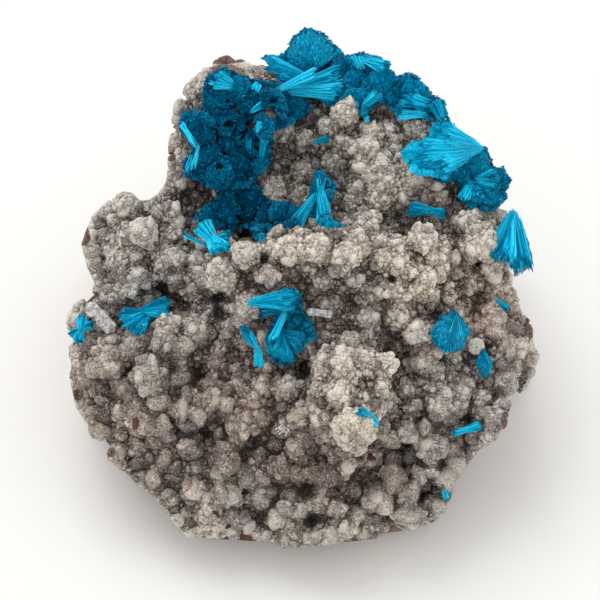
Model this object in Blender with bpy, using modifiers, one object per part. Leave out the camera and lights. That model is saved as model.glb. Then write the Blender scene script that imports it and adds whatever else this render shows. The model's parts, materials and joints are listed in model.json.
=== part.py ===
"""Cavansite sprays on a piece of zeolite-crusted basalt, modelled at its real size.

The display side of the specimen is seen from the front and well above. Places on it are given as that
view shows them: millimetres across, up and out towards the viewer, from a middle point inside the rock.
"""

import math
import random

import bmesh
import bpy
from mathutils import Matrix, Vector, noise
from mathutils.bvhtree import BVHTree

MM = 0.001
SEED = 7

# The view that the display side faces.
VIEW_ELEVATION = math.radians(50.0)
EYE_DISTANCE = 400.0
MIDDLE = Vector((0.0, 0.0, 25.0))
ACROSS = Vector((1.0, 0.0, 0.0))
UP = Vector((0.0, math.sin(VIEW_ELEVATION), math.cos(VIEW_ELEVATION)))
OUT = Vector((0.0, -math.cos(VIEW_ELEVATION), math.sin(VIEW_ELEVATION)))
EYE = MIDDLE + OUT * EYE_DISTANCE

# The whole specimen is moved by this much, so that its origin is under the middle of its box.
SHIFT = Vector((-0.2, 1.6, 0.0))

# Sizes that rule the rock, in millimetres.
CRUST_THICKNESS = 4.0
GAP = 0.35
SHARPEST = 0.3
BLUNTING_ROUNDS = 6
LOBE_VOXEL = 1.3
ROCK_VOXEL = 0.9
BASALT_VOXEL = 1.2
CRUST_FACES = 2160
BASALT_FACES = 1250
BREAK_SLOPE = math.radians(30.0)
BREAK_FRONT = Vector((0.0, -44.6, 4.0))
BREAK_WAVE = 2.4
BREAK_WAVE_LENGTH = 17.0
BREAK_SPAN = 200.0
BREAK_CELLS = 40
BREAK_DEPTH = 120.0
BASALT_ROUGHNESS = [(1.5, 9.0), (0.9, 3.5)]
ROCK_NARROWER = 0.972
BLOCK_NARROWER = 0.945
CORE_NARROWER = 0.9
EDGE_ROUGHNESS = (1.2, 6.0)

# How far the cut along the broken edge reaches, out and back, and how its long sides are divided.
PRISM_REACH = (60.0, -95.0)
PRISM_CUTS = 9
PRISM_LONG_EDGE = 20.0

# What lies under the flat face that the specimen rests on, and what is broken away at its back along three
# faces: (middle, axis and degrees that it is turned by, size).
TABLE = ((0.0, 0.0, -60.0), "Z", 0.0, (300.0, 300.0, 120.0))
BACK_BREAKS = [
    ((0.0, 98.0, 40.0), "X", -8.0, (240.0, 120.0, 240.0)),
    ((-72.0, 62.0, 40.0), "Z", 38.0, (120.0, 90.0, 240.0)),
    ((76.0, 60.0, 40.0), "Z", -34.0, (120.0, 90.0, 240.0)),
]

# The broken edge of the specimen, as it is seen: (across, up).
EDGE = [
    (-20.0, 42.4), (-14.8, 46.0), (-7.2, 45.8), (0.0, 43.8), (8.6, 43.0), (19.0, 39.4), (26.8, 33.6),
    (33.0, 27.0), (37.6, 19.0), (39.6, 14.0), (40.6, 3.8), (42.2, -1.0), (44.4, -6.0), (45.2, -10.6),
    (42.6, -16.2), (39.8, -21.4), (37.2, -27.0), (32.6, -31.6), (30.8, -36.6), (28.6, -42.6),
    (20.8, -46.2), (7.6, -47.8), (-1.9, -48.6), (-11.4, -48.2), (-21.8, -47.0), (-28.8, -39.8),
    (-35.6, -33.2), (-39.4, -27.2), (-43.2, -21.3), (-44.0, -17.1), (-45.2, -8.6), (-44.2, -3.4),
    (-39.6, 0.4), (-38.4, 2.9), (-40.2, 7.2), (-41.0, 11.2), (-39.6, 14.4), (-36.6, 17.4),
    (-32.6, 19.2), (-26.4, 19.4), (-23.4, 23.8), (-24.0, 30.4), (-23.0, 37.0),
]

# The big swellings of the rock: (across, up, how far out its crest stands, half width, half height, depth).
LOBES = [
    (1.0, -24.0, 20.0, 44.0, 24.0, 24.0),
    (5.0, 2.0, 19.0, 39.0, 23.0, 24.0),
    (-28.0, 7.0, 14.0, 15.0, 15.0, 16.0),
    (-12.5, 31.0, 12.5, 14.0, 16.5, 20.0),
    (15.0, 25.0, 10.5, 22.0, 19.0, 20.0),
    (31.0, 7.0, 13.0, 13.0, 16.0, 16.0),
    (35.5, -11.5, 14.5, 11.0, 12.0, 14.0),
    (-34.5, -13.0, 16.0, 10.5, 11.5, 14.0),
    (-18.0, -36.0, 17.5, 12.5, 9.5, 13.0),
    (1.0, -38.5, 19.0, 12.5, 8.5, 12.0),
    (21.0, -34.0, 18.0, 12.5, 10.0, 12.0),
    (9.0, -16.6, 31.0, 8.8, 10.4, 15.0),
    (9.5, -23.5, 31.5, 5.6, 4.8, 8.0),
    (-8.0, 8.0, 24.5, 7.0, 5.6, 8.0),
    (5.5, 9.5, 26.0, 8.5, 6.4, 9.0),
    (18.0, 5.5, 24.0, 9.0, 8.0, 10.0),
    (-10.5, -2.0, 22.5, 6.5, 5.5, 8.0),
    (-25.0, -9.0, 20.0, 9.5, 8.0, 10.0),
    (-17.5, -17.5, 20.5, 7.0, 6.0, 9.0),
    (-30.0, -22.0, 18.5, 8.0, 7.0, 9.0),
    (24.0, -9.0, 21.5, 7.5, 9.0, 9.0),
    (26.0, -20.5, 21.5, 5.5, 7.0, 8.0),
    (9.5, 36.0, 9.0, 3.2, 3.4, 5.0),
    (-31.0, 13.0, 16.0, 6.0, 5.0, 7.0),
    (17.0, 21.0, 14.0, 8.0, 6.0, 8.0),
    (32.0, 11.5, 17.0, 5.5, 5.5, 7.0),
]

# The hollows between them: (across, up, out, half width, half height, depth).
HOLLOWS = [
    (-10.0, 17.5, 15.5, 9.5, 6.0, 9.0),
    (-13.5, 29.0, 16.0, 7.0, 7.0, 8.0),
    (3.0, 18.0, 18.0, 5.5, 4.0, 9.0),
    (-0.5, -13.5, 22.0, 2.6, 6.0, 7.0),
    (-15.5, 0.0, 22.0, 2.4, 3.8, 6.0),
    (-20.5, -14.0, 20.0, 2.2, 3.4, 6.0),
    (19.5, -30.5, 20.0, 4.4, 3.4, 7.0),
    (18.8, -12.0, 20.0, 2.8, 7.0, 6.0),
    (22.0, 14.5, 14.0, 7.0, 2.6, 6.0),
    (-27.0, -1.0, 13.0, 7.0, 2.0, 5.0),
    (-8.0, -27.0, 21.5, 6.5, 2.4, 5.0),
    (34.5, 0.5, 13.0, 4.0, 2.6, 5.0),
]

# Round lumps of the crust, scattered over it: how many are tried, their sizes, how uneven they are, and how
# far their middles stand out from the rock, in radii, on the display side and on the broken edge. They keep
# above the break by a share of their radius.
LUMP_TRIES = 2600
LUMP_RADIUS = (1.9, 4.0)
MORE_SMALL_ONES = 1.7
LUMP_SQUASH = (0.85, 1.15)
LUMP_SPACING = 0.68
LUMP_STANDS = 0.12
EDGE_LUMP_STANDS = -0.5
DISPLAY_SIDE = 0.3
LUMP_ABOVE_BREAK = 0.3
HOLLOW_MARGIN = 1.1
SPRAY_MARGIN = 0.7
SPRAY_CLEAR = 0.6

# Basalt that shows where the crust has broken away: (across, up, radius).
BARE_KNOBS = [
    (-40.6, 0.6, 2.4), (-39.4, 10.6, 3.0), (-40.4, -19.0, 3.2), (-35.2, -28.0, 3.4), (42.0, -5.0, 3.4),
    (38.4, -20.4, 3.2), (-14.6, 42.0, 4.0), (-22.0, 29.0, 3.4), (-8.0, -43.8, 3.2), (23.0, -40.8, 3.0),
]

# One sheaf of crystals: root (across, up), middle of its tips (across, up), how far the root and the tips
# stand out from the crust, width over the tips, thickness, and the number of ridges. A burst is a ball of
# crystals: centre (across, up), how far it stands out, and its radius.
SHEAF = "sheaf"
BURST = "burst"
SPRAYS = {
    "cavansite_crest_cluster": [
        (SHEAF, (2.4, 38.4), (1.4, 51.0), 2.4, 1.6, 11.6, 6.0, 8),
        (SHEAF, (2.4, 40.6), (-6.6, 45.4), 2.0, 0.8, 3.8, 3.6, 4),
        (SHEAF, (-0.8, 37.6), (2.6, 43.4), 2.4, 2.8, 4.6, 4.0, 4),
        (SHEAF, (-0.4, 39.8), (10.2, 40.2), 2.4, 2.8, 6.0, 5.2, 5),
        (SHEAF, (2.0, 39.4), (8.8, 45.8), 2.2, 1.8, 7.2, 5.6, 5),
        (BURST, (5.8, 41.0), 1.2, 5.4),
        (BURST, (12.2, 41.0), 1.2, 5.6),
        (BURST, (17.8, 39.0), 1.2, 5.2),
        (SHEAF, (13.6, 38.6), (10.6, 34.6), 1.6, 1.4, 3.4, 3.0, 4),
        (SHEAF, (20.4, 35.0), (20.8, 43.0), 2.0, 1.6, 7.6, 5.6, 6),
        (SHEAF, (19.4, 36.6), (28.4, 36.8), 2.0, 1.6, 9.4, 5.8, 6),
        (SHEAF, (23.6, 36.8), (17.6, 34.8), 1.8, 1.8, 3.4, 3.2, 4),
    ],
    "cavansite_hollow_cluster": [
        (BURST, (-14.0, 39.6), 0.6, 5.2),
        (BURST, (-17.6, 34.8), 0.6, 5.0),
        (BURST, (-10.4, 36.0), 0.8, 5.2),
        (BURST, (-4.0, 37.4), 0.8, 5.6),
        (BURST, (-17.0, 29.6), 0.6, 4.8),
        (BURST, (-12.6, 27.2), 0.8, 5.4),
        (BURST, (-8.0, 29.2), 0.8, 4.8),
        (SHEAF, (-18.0, 29.6), (-22.4, 34.4), 1.0, 1.6, 4.4, 3.0, 4),
        (SHEAF, (-17.6, 28.8), (-20.2, 22.8), 1.0, 1.6, 4.6, 3.0, 4),
        (BURST, (-11.4, 23.2), 1.4, 4.2),
        (SHEAF, (-11.2, 12.8), (-10.8, 23.4), 3.0, 3.4, 10.4, 6.4, 6),
        (SHEAF, (-8.6, 14.4), (-18.8, 17.6), 3.0, 2.4, 10.4, 6.0, 6),
        (SHEAF, (-12.6, 15.2), (0.2, 17.8), 3.0, 3.0, 8.0, 6.0, 5),
        (SHEAF, (-11.4, 18.0), (-7.0, 10.8), 2.6, 2.0, 7.2, 5.0, 5),
        (SHEAF, (1.6, 12.8), (4.0, 24.8), 3.2, 3.6, 6.8, 5.0, 6),
        (SHEAF, (3.4, 19.0), (-2.0, 13.8), 2.2, 2.4, 4.0, 3.8, 4),
        (SHEAF, (1.8, 18.6), (7.6, 13.8), 2.2, 2.0, 3.6, 3.4, 4),
    ],
    "cavansite_hollow_bow_tie": [
        (SHEAF, (-16.2, 9.8), (-19.9, 14.8), 2.2, 2.8, 3.8, 2.8, 4),
        (SHEAF, (-18.2, 12.4), (-13.8, 8.4), 2.2, 2.8, 4.0, 2.8, 4),
        (SHEAF, (-18.6, 11.2), (-13.6, 12.4), 2.2, 2.8, 3.0, 2.6, 4),
        (SHEAF, (-16.0, 10.2), (-23.4, 13.4), 1.8, 1.9, 1.8, 1.8, 3),
    ],
    "cavansite_right_cluster": [
        (SHEAF, (33.8, 26.6), (20.4, 28.4), 4.0, 3.6, 8.2, 5.4, 8),
        (SHEAF, (32.6, 25.4), (26.4, 33.0), 3.4, 2.6, 6.6, 5.0, 5),
        (SHEAF, (31.8, 24.0), (32.8, 31.6), 3.4, 2.4, 6.2, 4.8, 5),
        (SHEAF, (33.0, 20.8), (36.6, 27.8), 3.6, 2.6, 7.2, 5.2, 6),
        (SHEAF, (32.0, 23.4), (40.4, 22.4), 3.6, 2.4, 8.4, 5.2, 6),
        (SHEAF, (33.0, 26.0), (36.2, 16.8), 3.6, 2.4, 8.0, 5.2, 6),
        (SHEAF, (35.4, 24.4), (29.6, 20.0), 3.2, 2.2, 5.4, 4.8, 4),
    ],
    "cavansite_edge_sheaf": [
        (SHEAF, (38.0, 17.6), (40.8, 5.4), 2.8, 2.6, 8.8, 5.0, 7),
    ],
    "cavansite_small_bow_tie": [
        (SHEAF, (25.4, 16.4), (19.8, 17.0), 1.3, 1.6, 3.6, 2.4, 4),
        (SHEAF, (22.8, 16.8), (28.2, 16.0), 1.3, 1.5, 2.8, 2.2, 4),
    ],
    "cavansite_top_sliver": [
        (SHEAF, (2.2, 29.2), (5.8, 30.9), 1.0, 1.3, 2.0, 1.6, 3),
    ],
    "cavansite_left_bow_tie": [
        (SHEAF, (-27.8, -1.9), (-34.2, -4.4), 1.8, 2.2, 6.4, 3.6, 6),
        (SHEAF, (-31.0, -3.2), (-24.2, -1.2), 1.8, 2.2, 5.0, 3.2, 5),
    ],
    "cavansite_far_left_spray": [
        (SHEAF, (-40.6, -7.0), (-42.0, -1.6), 3.4, 3.0, 4.0, 3.6, 4),
        (SHEAF, (-40.6, -3.0), (-42.4, -8.8), 3.4, 3.0, 3.6, 3.4, 4),
        (SHEAF, (-43.2, -5.6), (-38.4, -4.0), 3.4, 3.0, 3.0, 3.0, 3),
    ],
    "cavansite_centre_cluster": [
        (SHEAF, (-10.0, -2.0), (0.8, 0.9), 1.8, 2.8, 4.8, 3.6, 6),
        (SHEAF, (-5.6, -9.6), (-1.4, -0.2), 1.8, 2.8, 3.2, 2.6, 4),
        (SHEAF, (-3.4, -3.8), (-3.2, -12.4), 2.0, 2.4, 6.4, 4.0, 6),
        (SHEAF, (-5.2, -4.2), (3.0, -6.2), 1.8, 2.2, 6.0, 3.6, 5),
        (SHEAF, (-2.6, -6.2), (-8.4, -3.6), 1.6, 1.8, 3.2, 2.8, 4),
    ],
    "cavansite_centre_side_bow_tie": [
        (BURST, (-9.2, -8.0), 1.4, 1.8),
        (SHEAF, (-8.4, -9.0), (-11.8, -4.4), 2.2, 2.2, 3.2, 2.8, 4),
        (SHEAF, (-9.4, -7.4), (-7.4, -13.6), 2.2, 2.2, 3.0, 2.8, 4),
    ],
    "cavansite_right_fan": [
        (SHEAF, (28.4, -2.6), (28.7, -11.2), 1.8, 2.2, 7.2, 4.0, 6),
        (SHEAF, (29.6, -3.4), (25.4, -8.2), 1.6, 2.0, 4.0, 3.2, 4),
    ],
    "cavansite_lower_right_fan": [
        (SHEAF, (35.0, -9.3), (35.2, -15.6), 1.6, 1.8, 3.6, 2.6, 4),
    ],
    "cavansite_right_sliver": [
        (SHEAF, (36.2, 0.8), (40.0, -3.2), 1.2, 1.4, 1.8, 1.6, 3),
    ],
    "cavansite_dome_streak": [
        (SHEAF, (14.8, -22.9), (10.4, -20.0), 1.0, 1.2, 1.8, 1.6, 3),
        (SHEAF, (12.0, -20.6), (14.8, -25.1), 1.0, 1.2, 1.8, 1.6, 3),
    ],
    "cavansite_low_bow_tie": [
        (SHEAF, (30.2, -24.9), (35.8, -22.9), 1.5, 1.8, 2.8, 2.2, 4),
        (SHEAF, (33.4, -23.7), (27.8, -26.0), 1.5, 1.6, 2.0, 1.8, 3),
    ],
    "cavansite_low_tuft": [
        (SHEAF, (27.2, -35.6), (28.3, -38.6), 1.2, 1.5, 2.2, 2.0, 4),
    ],
}

# Clear stilbite blades: one end and the other (across, up), how far they stand clear, width and thickness.
BLADES = {
    "stilbite_left_blade": ((-40.6, -0.6), (-35.2, -6.1), 0.7, 2.9, 1.7),
    "stilbite_centre_rod": ((1.1, -2.1), (6.4, -2.8), 0.5, 1.5, 1.3),
    "stilbite_right_blade": ((21.6, -6.3), (24.8, -7.1), 0.4, 1.3, 1.0),
    "stilbite_edge_splinter": ((40.4, 4.4), (43.4, 6.4), 0.4, 0.9, 0.8),
}

# A white ball of fine zeolite needles: where it is seen (across, up), and its radius.
WHITE_BALL = ((33.1, -8.9), 1.9)

# Shapes of the crystals: a burst's core and a blade's shoulders as shares of their reach, the notches
# between a sheaf's crystals as shares of its width and length, and how far its tips may lie behind or
# before its root, in millimetres.
BURST_CORE = 0.7
BLADE_SHOULDER = 0.78
NOTCH_WIDTH = 0.8
NOTCH_LENGTH = 0.88
WIDEST_SHEAF = 0.9
SHEAF_DROOP = 1.5
SHEAF_CLIMB = 7.0
WHITE_BALL_STANDS = 0.4

# Where a line of sight misses the rock, the search steps this much nearer to the middle each time.
SIGHT_STEPS = [0.02 * step for step in range(40)]

# Colour and roughness of each mineral.
CAVANSITE = ((0.0, 0.19, 0.34, 1.0), 0.4)
ZEOLITE_CRUST = ((0.30, 0.26, 0.225, 1.0), 0.75)
BASALT = ((0.085, 0.05, 0.038, 1.0), 0.85)
STILBITE = ((0.72, 0.75, 0.74, 1.0), 0.25)
WHITE_ZEOLITE = ((0.7, 0.68, 0.62, 1.0), 0.7)


def seen_at(across, up, out):
    """The point that is seen at (across, up) and stands out millimetres nearer than the middle."""
    nearer = 1.0 - out / EYE_DISTANCE
    return MIDDLE + ACROSS * (across * nearer) + UP * (up * nearer) + OUT * out


def material(name, finish):
    colour, roughness = finish
    made = bpy.data.materials.new(name)
    made.use_nodes = True
    shader = made.node_tree.nodes["Principled BSDF"]
    shader.inputs["Base Color"].default_value = colour
    shader.inputs["Roughness"].default_value = roughness
    shader.inputs["Metallic"].default_value = 0.0
    return made


def collection(name):
    made = bpy.data.collections.new(name)
    bpy.context.scene.collection.children.link(made)
    return made


def put_in(obj, home):
    """Moves an object that an operator has just made into its own collection."""
    for old in list(obj.users_collection):
        old.objects.unlink(obj)
    home.objects.link(obj)
    return obj


def helper(obj, home):
    """Marks a cutter or a guide, which is no part of the specimen."""
    obj.hide_render = True
    obj.display_type = "WIRE"
    return put_in(obj, home)


def evaluated_mesh(obj):
    bpy.context.view_layer.update()
    return bpy.data.meshes.new_from_object(obj.evaluated_get(bpy.context.evaluated_depsgraph_get()))


def settle(obj):
    """Replaces an object's mesh by what its modifiers make of it, without loose crumbs."""
    made = evaluated_mesh(obj)
    obj.modifiers.clear()
    obj.data = made
    keep_largest(made)
    return obj


def keep_largest(mesh):
    """Deletes all but the largest connected body of a mesh."""
    whole = bmesh.new()
    whole.from_mesh(mesh)
    left = set(whole.verts)
    bodies = []
    while left:
        body = set()
        todo = [next(iter(left))]
        while todo:
            vert = todo.pop()
            if vert in body:
                continue
            body.add(vert)
            todo.extend(edge.other_vert(vert) for edge in vert.link_edges)
        left -= body
        bodies.append(body)
    bodies.sort(key=len)
    crumbs = [vert for body in bodies[:-1] for vert in body]
    bmesh.ops.delete(whole, geom=crumbs, context="VERTS")
    whole.to_mesh(mesh)
    whole.free()


def ball(name, centre, radii, turn, detail, home):
    """A faceted ellipsoid. turn is the rotation that its three half sizes are measured in."""
    bpy.ops.mesh.primitive_ico_sphere_add(subdivisions=detail, radius=1.0)
    obj = bpy.context.object
    obj.name = name
    size = Matrix.Diagonal((*[r * MM for r in radii], 1.0))
    obj.data.transform(Matrix.Translation(centre * MM) @ turn.to_4x4() @ size)
    return helper(obj, home)


def facing_turn():
    """The rotation whose X, Y and Z are across, up and out."""
    return Matrix((ACROSS, UP, OUT)).transposed()


def joined(name, objects, home):
    """One mesh of several closed shapes, which may run into each other."""
    together = bmesh.new()
    for obj in objects:
        together.from_mesh(obj.data)
        bpy.data.objects.remove(obj)
    return helper(mesh_object(name, together), home)


def remesh(obj, voxel):
    modifier = obj.modifiers.new("one skin", "REMESH")
    modifier.mode = "VOXEL"
    modifier.voxel_size = voxel * MM


def decimate(obj, faces):
    """Thins a mesh to about this many triangles."""
    now = sum(len(face.vertices) - 2 for face in evaluated_mesh(obj).polygons)
    modifier = obj.modifiers.new("fewer faces", "DECIMATE")
    modifier.ratio = min(1.0, faces / now)


def boolean(obj, operation, other, solver="EXACT"):
    modifier = obj.modifiers.new(operation.lower(), "BOOLEAN")
    modifier.operation = operation
    modifier.solver = solver
    modifier.object = other


def inflated(obj, by, name, home):
    """A copy of a closed mesh, grown so that each face moves out by at least this much, to cut with."""
    shape = bmesh.new()
    shape.from_mesh(obj.data)
    shape.normal_update()
    moves = []
    for vert in shape.verts:
        moves.append(vert.normal * by * MM / max(sharpness(vert), SHARPEST))
    for vert, move in zip(shape.verts, moves):
        vert.co += move
    return helper(mesh_object(name, shape), home)


def sharpness(vert):
    """How far a point's faces turn away from it: 1 where they are level, 0 or less on a needle."""
    return min(vert.normal.dot(face.normal) for face in vert.link_faces)


def blunt(obj):
    """Draws needle-sharp points in to the middle of their neighbours."""
    shape = bmesh.new()
    shape.from_mesh(obj.data)
    for _ in range(BLUNTING_ROUNDS):
        shape.normal_update()
        for vert in [vert for vert in shape.verts if sharpness(vert) < SHARPEST]:
            around = [edge.other_vert(vert).co for edge in vert.link_edges]
            vert.co = (vert.co + sum(around, Vector()) / len(around)) / 2
    shape.to_mesh(obj.data)
    shape.free()


def edge_prism(name, narrower, home):
    """The broken edge carried back along the lines of sight, as a closed prism."""
    shape = bmesh.new()
    rings = []
    for out in PRISM_REACH:
        ring = [shape.verts.new(seen_at(a * narrower, u * narrower, out) * MM) for a, u in EDGE]
        shape.faces.new(ring)
        rings.append(ring)
    bmesh.ops.bridge_loops(shape, edges=[edge for edge in shape.edges if len(edge.link_faces) == 1])
    bmesh.ops.triangulate(shape, faces=shape.faces[:])
    long_edges = [edge for edge in shape.edges if edge.calc_length() > PRISM_LONG_EDGE * MM]
    bmesh.ops.subdivide_edges(shape, edges=long_edges, cuts=PRISM_CUTS)
    bmesh.ops.triangulate(shape, faces=shape.faces[:])
    bmesh.ops.recalc_face_normals(shape, faces=shape.faces[:])
    return helper(mesh_object(name, shape), home)


def slab(name, box, home):
    """A box to cut with, from its (middle, axis, degrees, size)."""
    centre, axis, degrees, size = box
    bpy.ops.mesh.primitive_cube_add(size=1.0)
    obj = bpy.context.object
    obj.name = name
    turn = Matrix.Rotation(math.radians(degrees), 4, axis)
    place = Matrix.Scale(MM, 4) @ Matrix.Translation(centre) @ turn
    obj.data.transform(place @ Matrix.Diagonal((*size, 1.0)))
    return helper(obj, home)


def below_break(name, lower, home):
    """A block that holds all that lies under the sloping, uneven break between crust and basalt."""
    bpy.ops.mesh.primitive_grid_add(x_subdivisions=BREAK_CELLS, y_subdivisions=BREAK_CELLS, size=BREAK_SPAN)
    obj = bpy.context.object
    obj.name = name
    shape = bmesh.new()
    shape.from_mesh(obj.data)
    for vert in shape.verts:
        vert.co.z = BREAK_WAVE * noise.noise(vert.co / BREAK_WAVE_LENGTH) - lower
    deeper = bmesh.ops.extrude_face_region(shape, geom=shape.faces[:])["geom"]
    for vert in deeper:
        if isinstance(vert, bmesh.types.BMVert):
            vert.co.z = -BREAK_DEPTH
    bmesh.ops.recalc_face_normals(shape, faces=shape.faces[:])
    slope = Matrix.Rotation(BREAK_SLOPE, 4, "X")
    shape.transform(Matrix.Scale(MM, 4) @ Matrix.Translation(BREAK_FRONT) @ slope)
    shape.to_mesh(obj.data)
    shape.free()
    return helper(obj, home)


def roughen(obj, by, grain):
    """Moves each point along its normal by smooth noise, as a broken rock face has."""
    normals = [vert.normal.copy() for vert in obj.data.vertices]
    for vert, normal in zip(obj.data.vertices, normals):
        vert.co += normal * noise.noise(vert.co / (grain * MM)) * by * MM


def mesh_object(name, shape):
    """An object made of a bmesh, which is freed."""
    mesh = bpy.data.meshes.new(name)
    shape.to_mesh(mesh)
    shape.free()
    return bpy.data.objects.new(name, mesh)


def surface_of(obj):
    shape = bmesh.new()
    shape.from_mesh(obj.data)
    bmesh.ops.triangulate(shape, faces=shape.faces[:])
    tree = BVHTree.FromBMesh(shape)
    shape.free()
    return tree


def rock_depth(tree, across, up):
    """How far out the rock stands where it is seen at (across, up), or at the nearest place on it."""
    start = EYE * MM
    for step in SIGHT_STEPS:
        ray = (seen_at(across * (1.0 - step), up * (1.0 - step), 0.0) * MM - start).normalized()
        point = tree.ray_cast(start, ray)[0]
        if point is not None:
            return (point / MM - MIDDLE).dot(OUT)
    return 0.0


def lobes_with_hollows(name, thinner, narrower, home):
    """The rock's swellings as one skin, cut off at its broken edge, with the hollows cut into it."""
    turn = facing_turn()
    lobes = []
    for a, u, crest, *radii in LOBES:
        less = [radius - thinner for radius in radii]
        if min(less) > LOBE_VOXEL:
            lobes.append(ball("lobe", seen_at(a, u, crest - radii[2]), less, turn, 4, home))
    rock = joined(name, lobes, home)
    remesh(rock, LOBE_VOXEL)
    settle(rock)
    for a, u, out, *radii in HOLLOWS:
        more = [radius + thinner for radius in radii]
        boolean(rock, "DIFFERENCE", ball("hollow", seen_at(a, u, out), more, turn, 3, home))
    settle(rock)
    edge = edge_prism("edge of the rock", narrower, home)
    roughen(edge, *EDGE_ROUGHNESS)
    boolean(rock, "INTERSECT", edge)
    remesh(rock, LOBE_VOXEL)
    return settle(rock)


def in_hollow(point):
    """Whether a point lies in one of the hollows, where no lumps grew."""
    for across, up, out, width, height, depth in HOLLOWS:
        off = point - seen_at(across, up, out)
        reach = Vector((off.dot(ACROSS) / width, off.dot(UP) / height, off.dot(OUT) / depth))
        if reach.length < HOLLOW_MARGIN:
            return True
    return False


def under_spray(point):
    """Whether a point is seen where a spray lies, so that a lump there would bury the crystals."""
    off = point - MIDDLE
    nearer = 1.0 - off.dot(OUT) / EYE_DISTANCE
    seen = Vector((off.dot(ACROSS), off.dot(UP))) / nearer
    for shape in [shape for shapes in SPRAYS.values() for shape in shapes]:
        if shape[0] == BURST:
            nearest, reach = Vector(shape[1]), shape[3] * SPRAY_MARGIN
        else:
            root, tip = Vector(shape[1]), Vector(shape[2])
            along = (seen - root).dot(tip - root) / (tip - root).length_squared
            nearest, reach = root + (tip - root) * min(1.0, max(0.0, along)), shape[5] * 0.5 * SPRAY_MARGIN
        if (seen - nearest).length < reach + SPRAY_CLEAR:
            return True
    return False


def crust_lumps(rock, home):
    """Round lumps all over the rock above the break, with room between the bigger ones."""
    rng = random.Random(SEED)
    faces = list(rock.data.polygons)
    slope = Matrix.Rotation(BREAK_SLOPE, 3, "X") @ Vector((0.0, 0.0, 1.0))
    lumps, kept = [], []
    for face in rng.choices(faces, weights=[face.area for face in faces], k=LUMP_TRIES):
        radius = LUMP_RADIUS[0] + (LUMP_RADIUS[1] - LUMP_RADIUS[0]) * rng.random() ** MORE_SMALL_ONES
        squash = [radius * rng.uniform(*LUMP_SQUASH) for _ in range(3)]
        point = face.center / MM
        above_break = (point - BREAK_FRONT).dot(slope) / radius
        if above_break < LUMP_ABOVE_BREAK or in_hollow(point) or under_spray(point):
            continue
        if any((point - other).length < LUMP_SPACING * (radius + r) for other, r in kept):
            continue
        kept.append((point, radius))
        stands = LUMP_STANDS if face.normal.dot(OUT) > DISPLAY_SIDE else EDGE_LUMP_STANDS
        centre = point + face.normal * radius * stands
        lumps.append(ball("lump", centre, squash, Matrix.Identity(3), 2, home))
    return lumps


def make_rock(home):
    """The whole rock, cut off at its broken edge and grown over with lumps."""
    lobes = lobes_with_hollows("bare lobes", 0.0, ROCK_NARROWER, home)
    rock = joined("rock", [lobes, *crust_lumps(lobes, home)], home)
    remesh(rock, ROCK_VOXEL)
    settle(rock)
    decimate(rock, CRUST_FACES)
    return settle(rock)


def make_basalt(tree, material_of_it, home, guides):
    """The basalt: a core under the crust, the broken block below it, and knobs that show through."""
    core = lobes_with_hollows("core", CRUST_THICKNESS, CORE_NARROWER, guides)
    knobs = [
        ball("knob", seen_at(a, u, rock_depth(tree, a, u)), (r, r, r), Matrix.Identity(3), 2, guides)
        for a, u, r in BARE_KNOBS
    ]
    block = edge_prism("block", BLOCK_NARROWER, guides)
    boolean(block, "INTERSECT", below_break("under the break", GAP, guides))
    boolean(block, "DIFFERENCE", back_cutter(guides))
    settle(block)
    basalt = joined("basalt_matrix", [core, block, *knobs], guides)
    remesh(basalt, BASALT_VOXEL)
    settle(basalt)
    for depth, grain in BASALT_ROUGHNESS:
        roughen(basalt, depth, grain)
    decimate(basalt, BASALT_FACES)
    settle(basalt)
    blunt(basalt)
    boolean(basalt, "DIFFERENCE", slab("below the table", TABLE, guides))
    settle(basalt)
    basalt.hide_render = False
    basalt.display_type = "TEXTURED"
    put_in(basalt, home)
    basalt.data.materials.append(material_of_it)
    return basalt


def back_cutter(guides):
    """What is cut from the back of the block, along its broken faces."""
    first, *others = [slab("behind", box, guides) for box in BACK_BREAKS]
    for other in others:
        boolean(first, "UNION", other)
    return settle(first)


def make_crust(rock, basalt, material_of_it, home, guides):
    """The zeolite crust: the rock's skin above the break, clear of the basalt by a hair."""
    crust = put_in(bpy.data.objects.new("zeolite_crust", rock.data.copy()), home)
    boolean(crust, "DIFFERENCE", below_break("below the break", 0.0, guides))
    settle(crust)
    boolean(crust, "DIFFERENCE", inflated(basalt, GAP, "room for the basalt", guides), "MANIFOLD")
    boolean(crust, "DIFFERENCE", basalt, "MANIFOLD")
    settle(crust)
    crust.data.materials.append(material_of_it)
    return crust


def sheaf(root, tip, width, thickness, ridges, home):
    """A fan of crystals from root to tip: a cone whose rim is notched between the crystals."""
    axis = tip - root
    length = axis.length
    axis.normalize()
    spread = math.asin(min(WIDEST_SHEAF, width / 2 / length))
    bpy.ops.mesh.primitive_cone_add(
        vertices=2 * ridges, radius1=0.0, radius2=length * math.sin(spread),
        depth=length, end_fill_type="TRIFAN",
    )
    obj = bpy.context.object
    fall = length * (1.0 - math.cos(spread))
    for vert in obj.data.vertices:
        vert.co.z += length / 2
        reach = math.hypot(vert.co.x, vert.co.y)
        if vert.co.z < length / 2 or reach < 1e-6:
            continue
        vert.co.z -= fall
        if round(math.atan2(vert.co.y, vert.co.x) / math.pi * ridges) % 2:
            vert.co = vert.co * Vector((NOTCH_WIDTH, NOTCH_WIDTH, NOTCH_LENGTH))
    side = axis.cross(OUT).normalized()
    place = Matrix((side, axis.cross(side), axis)).transposed().to_4x4()
    flat = Matrix.Diagonal((1.0, thickness / width, 1.0, 1.0))
    small = Matrix.Scale(MM, 4)
    obj.data.transform(small @ Matrix.Translation(root) @ place @ flat)
    return helper(obj, home)


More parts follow.
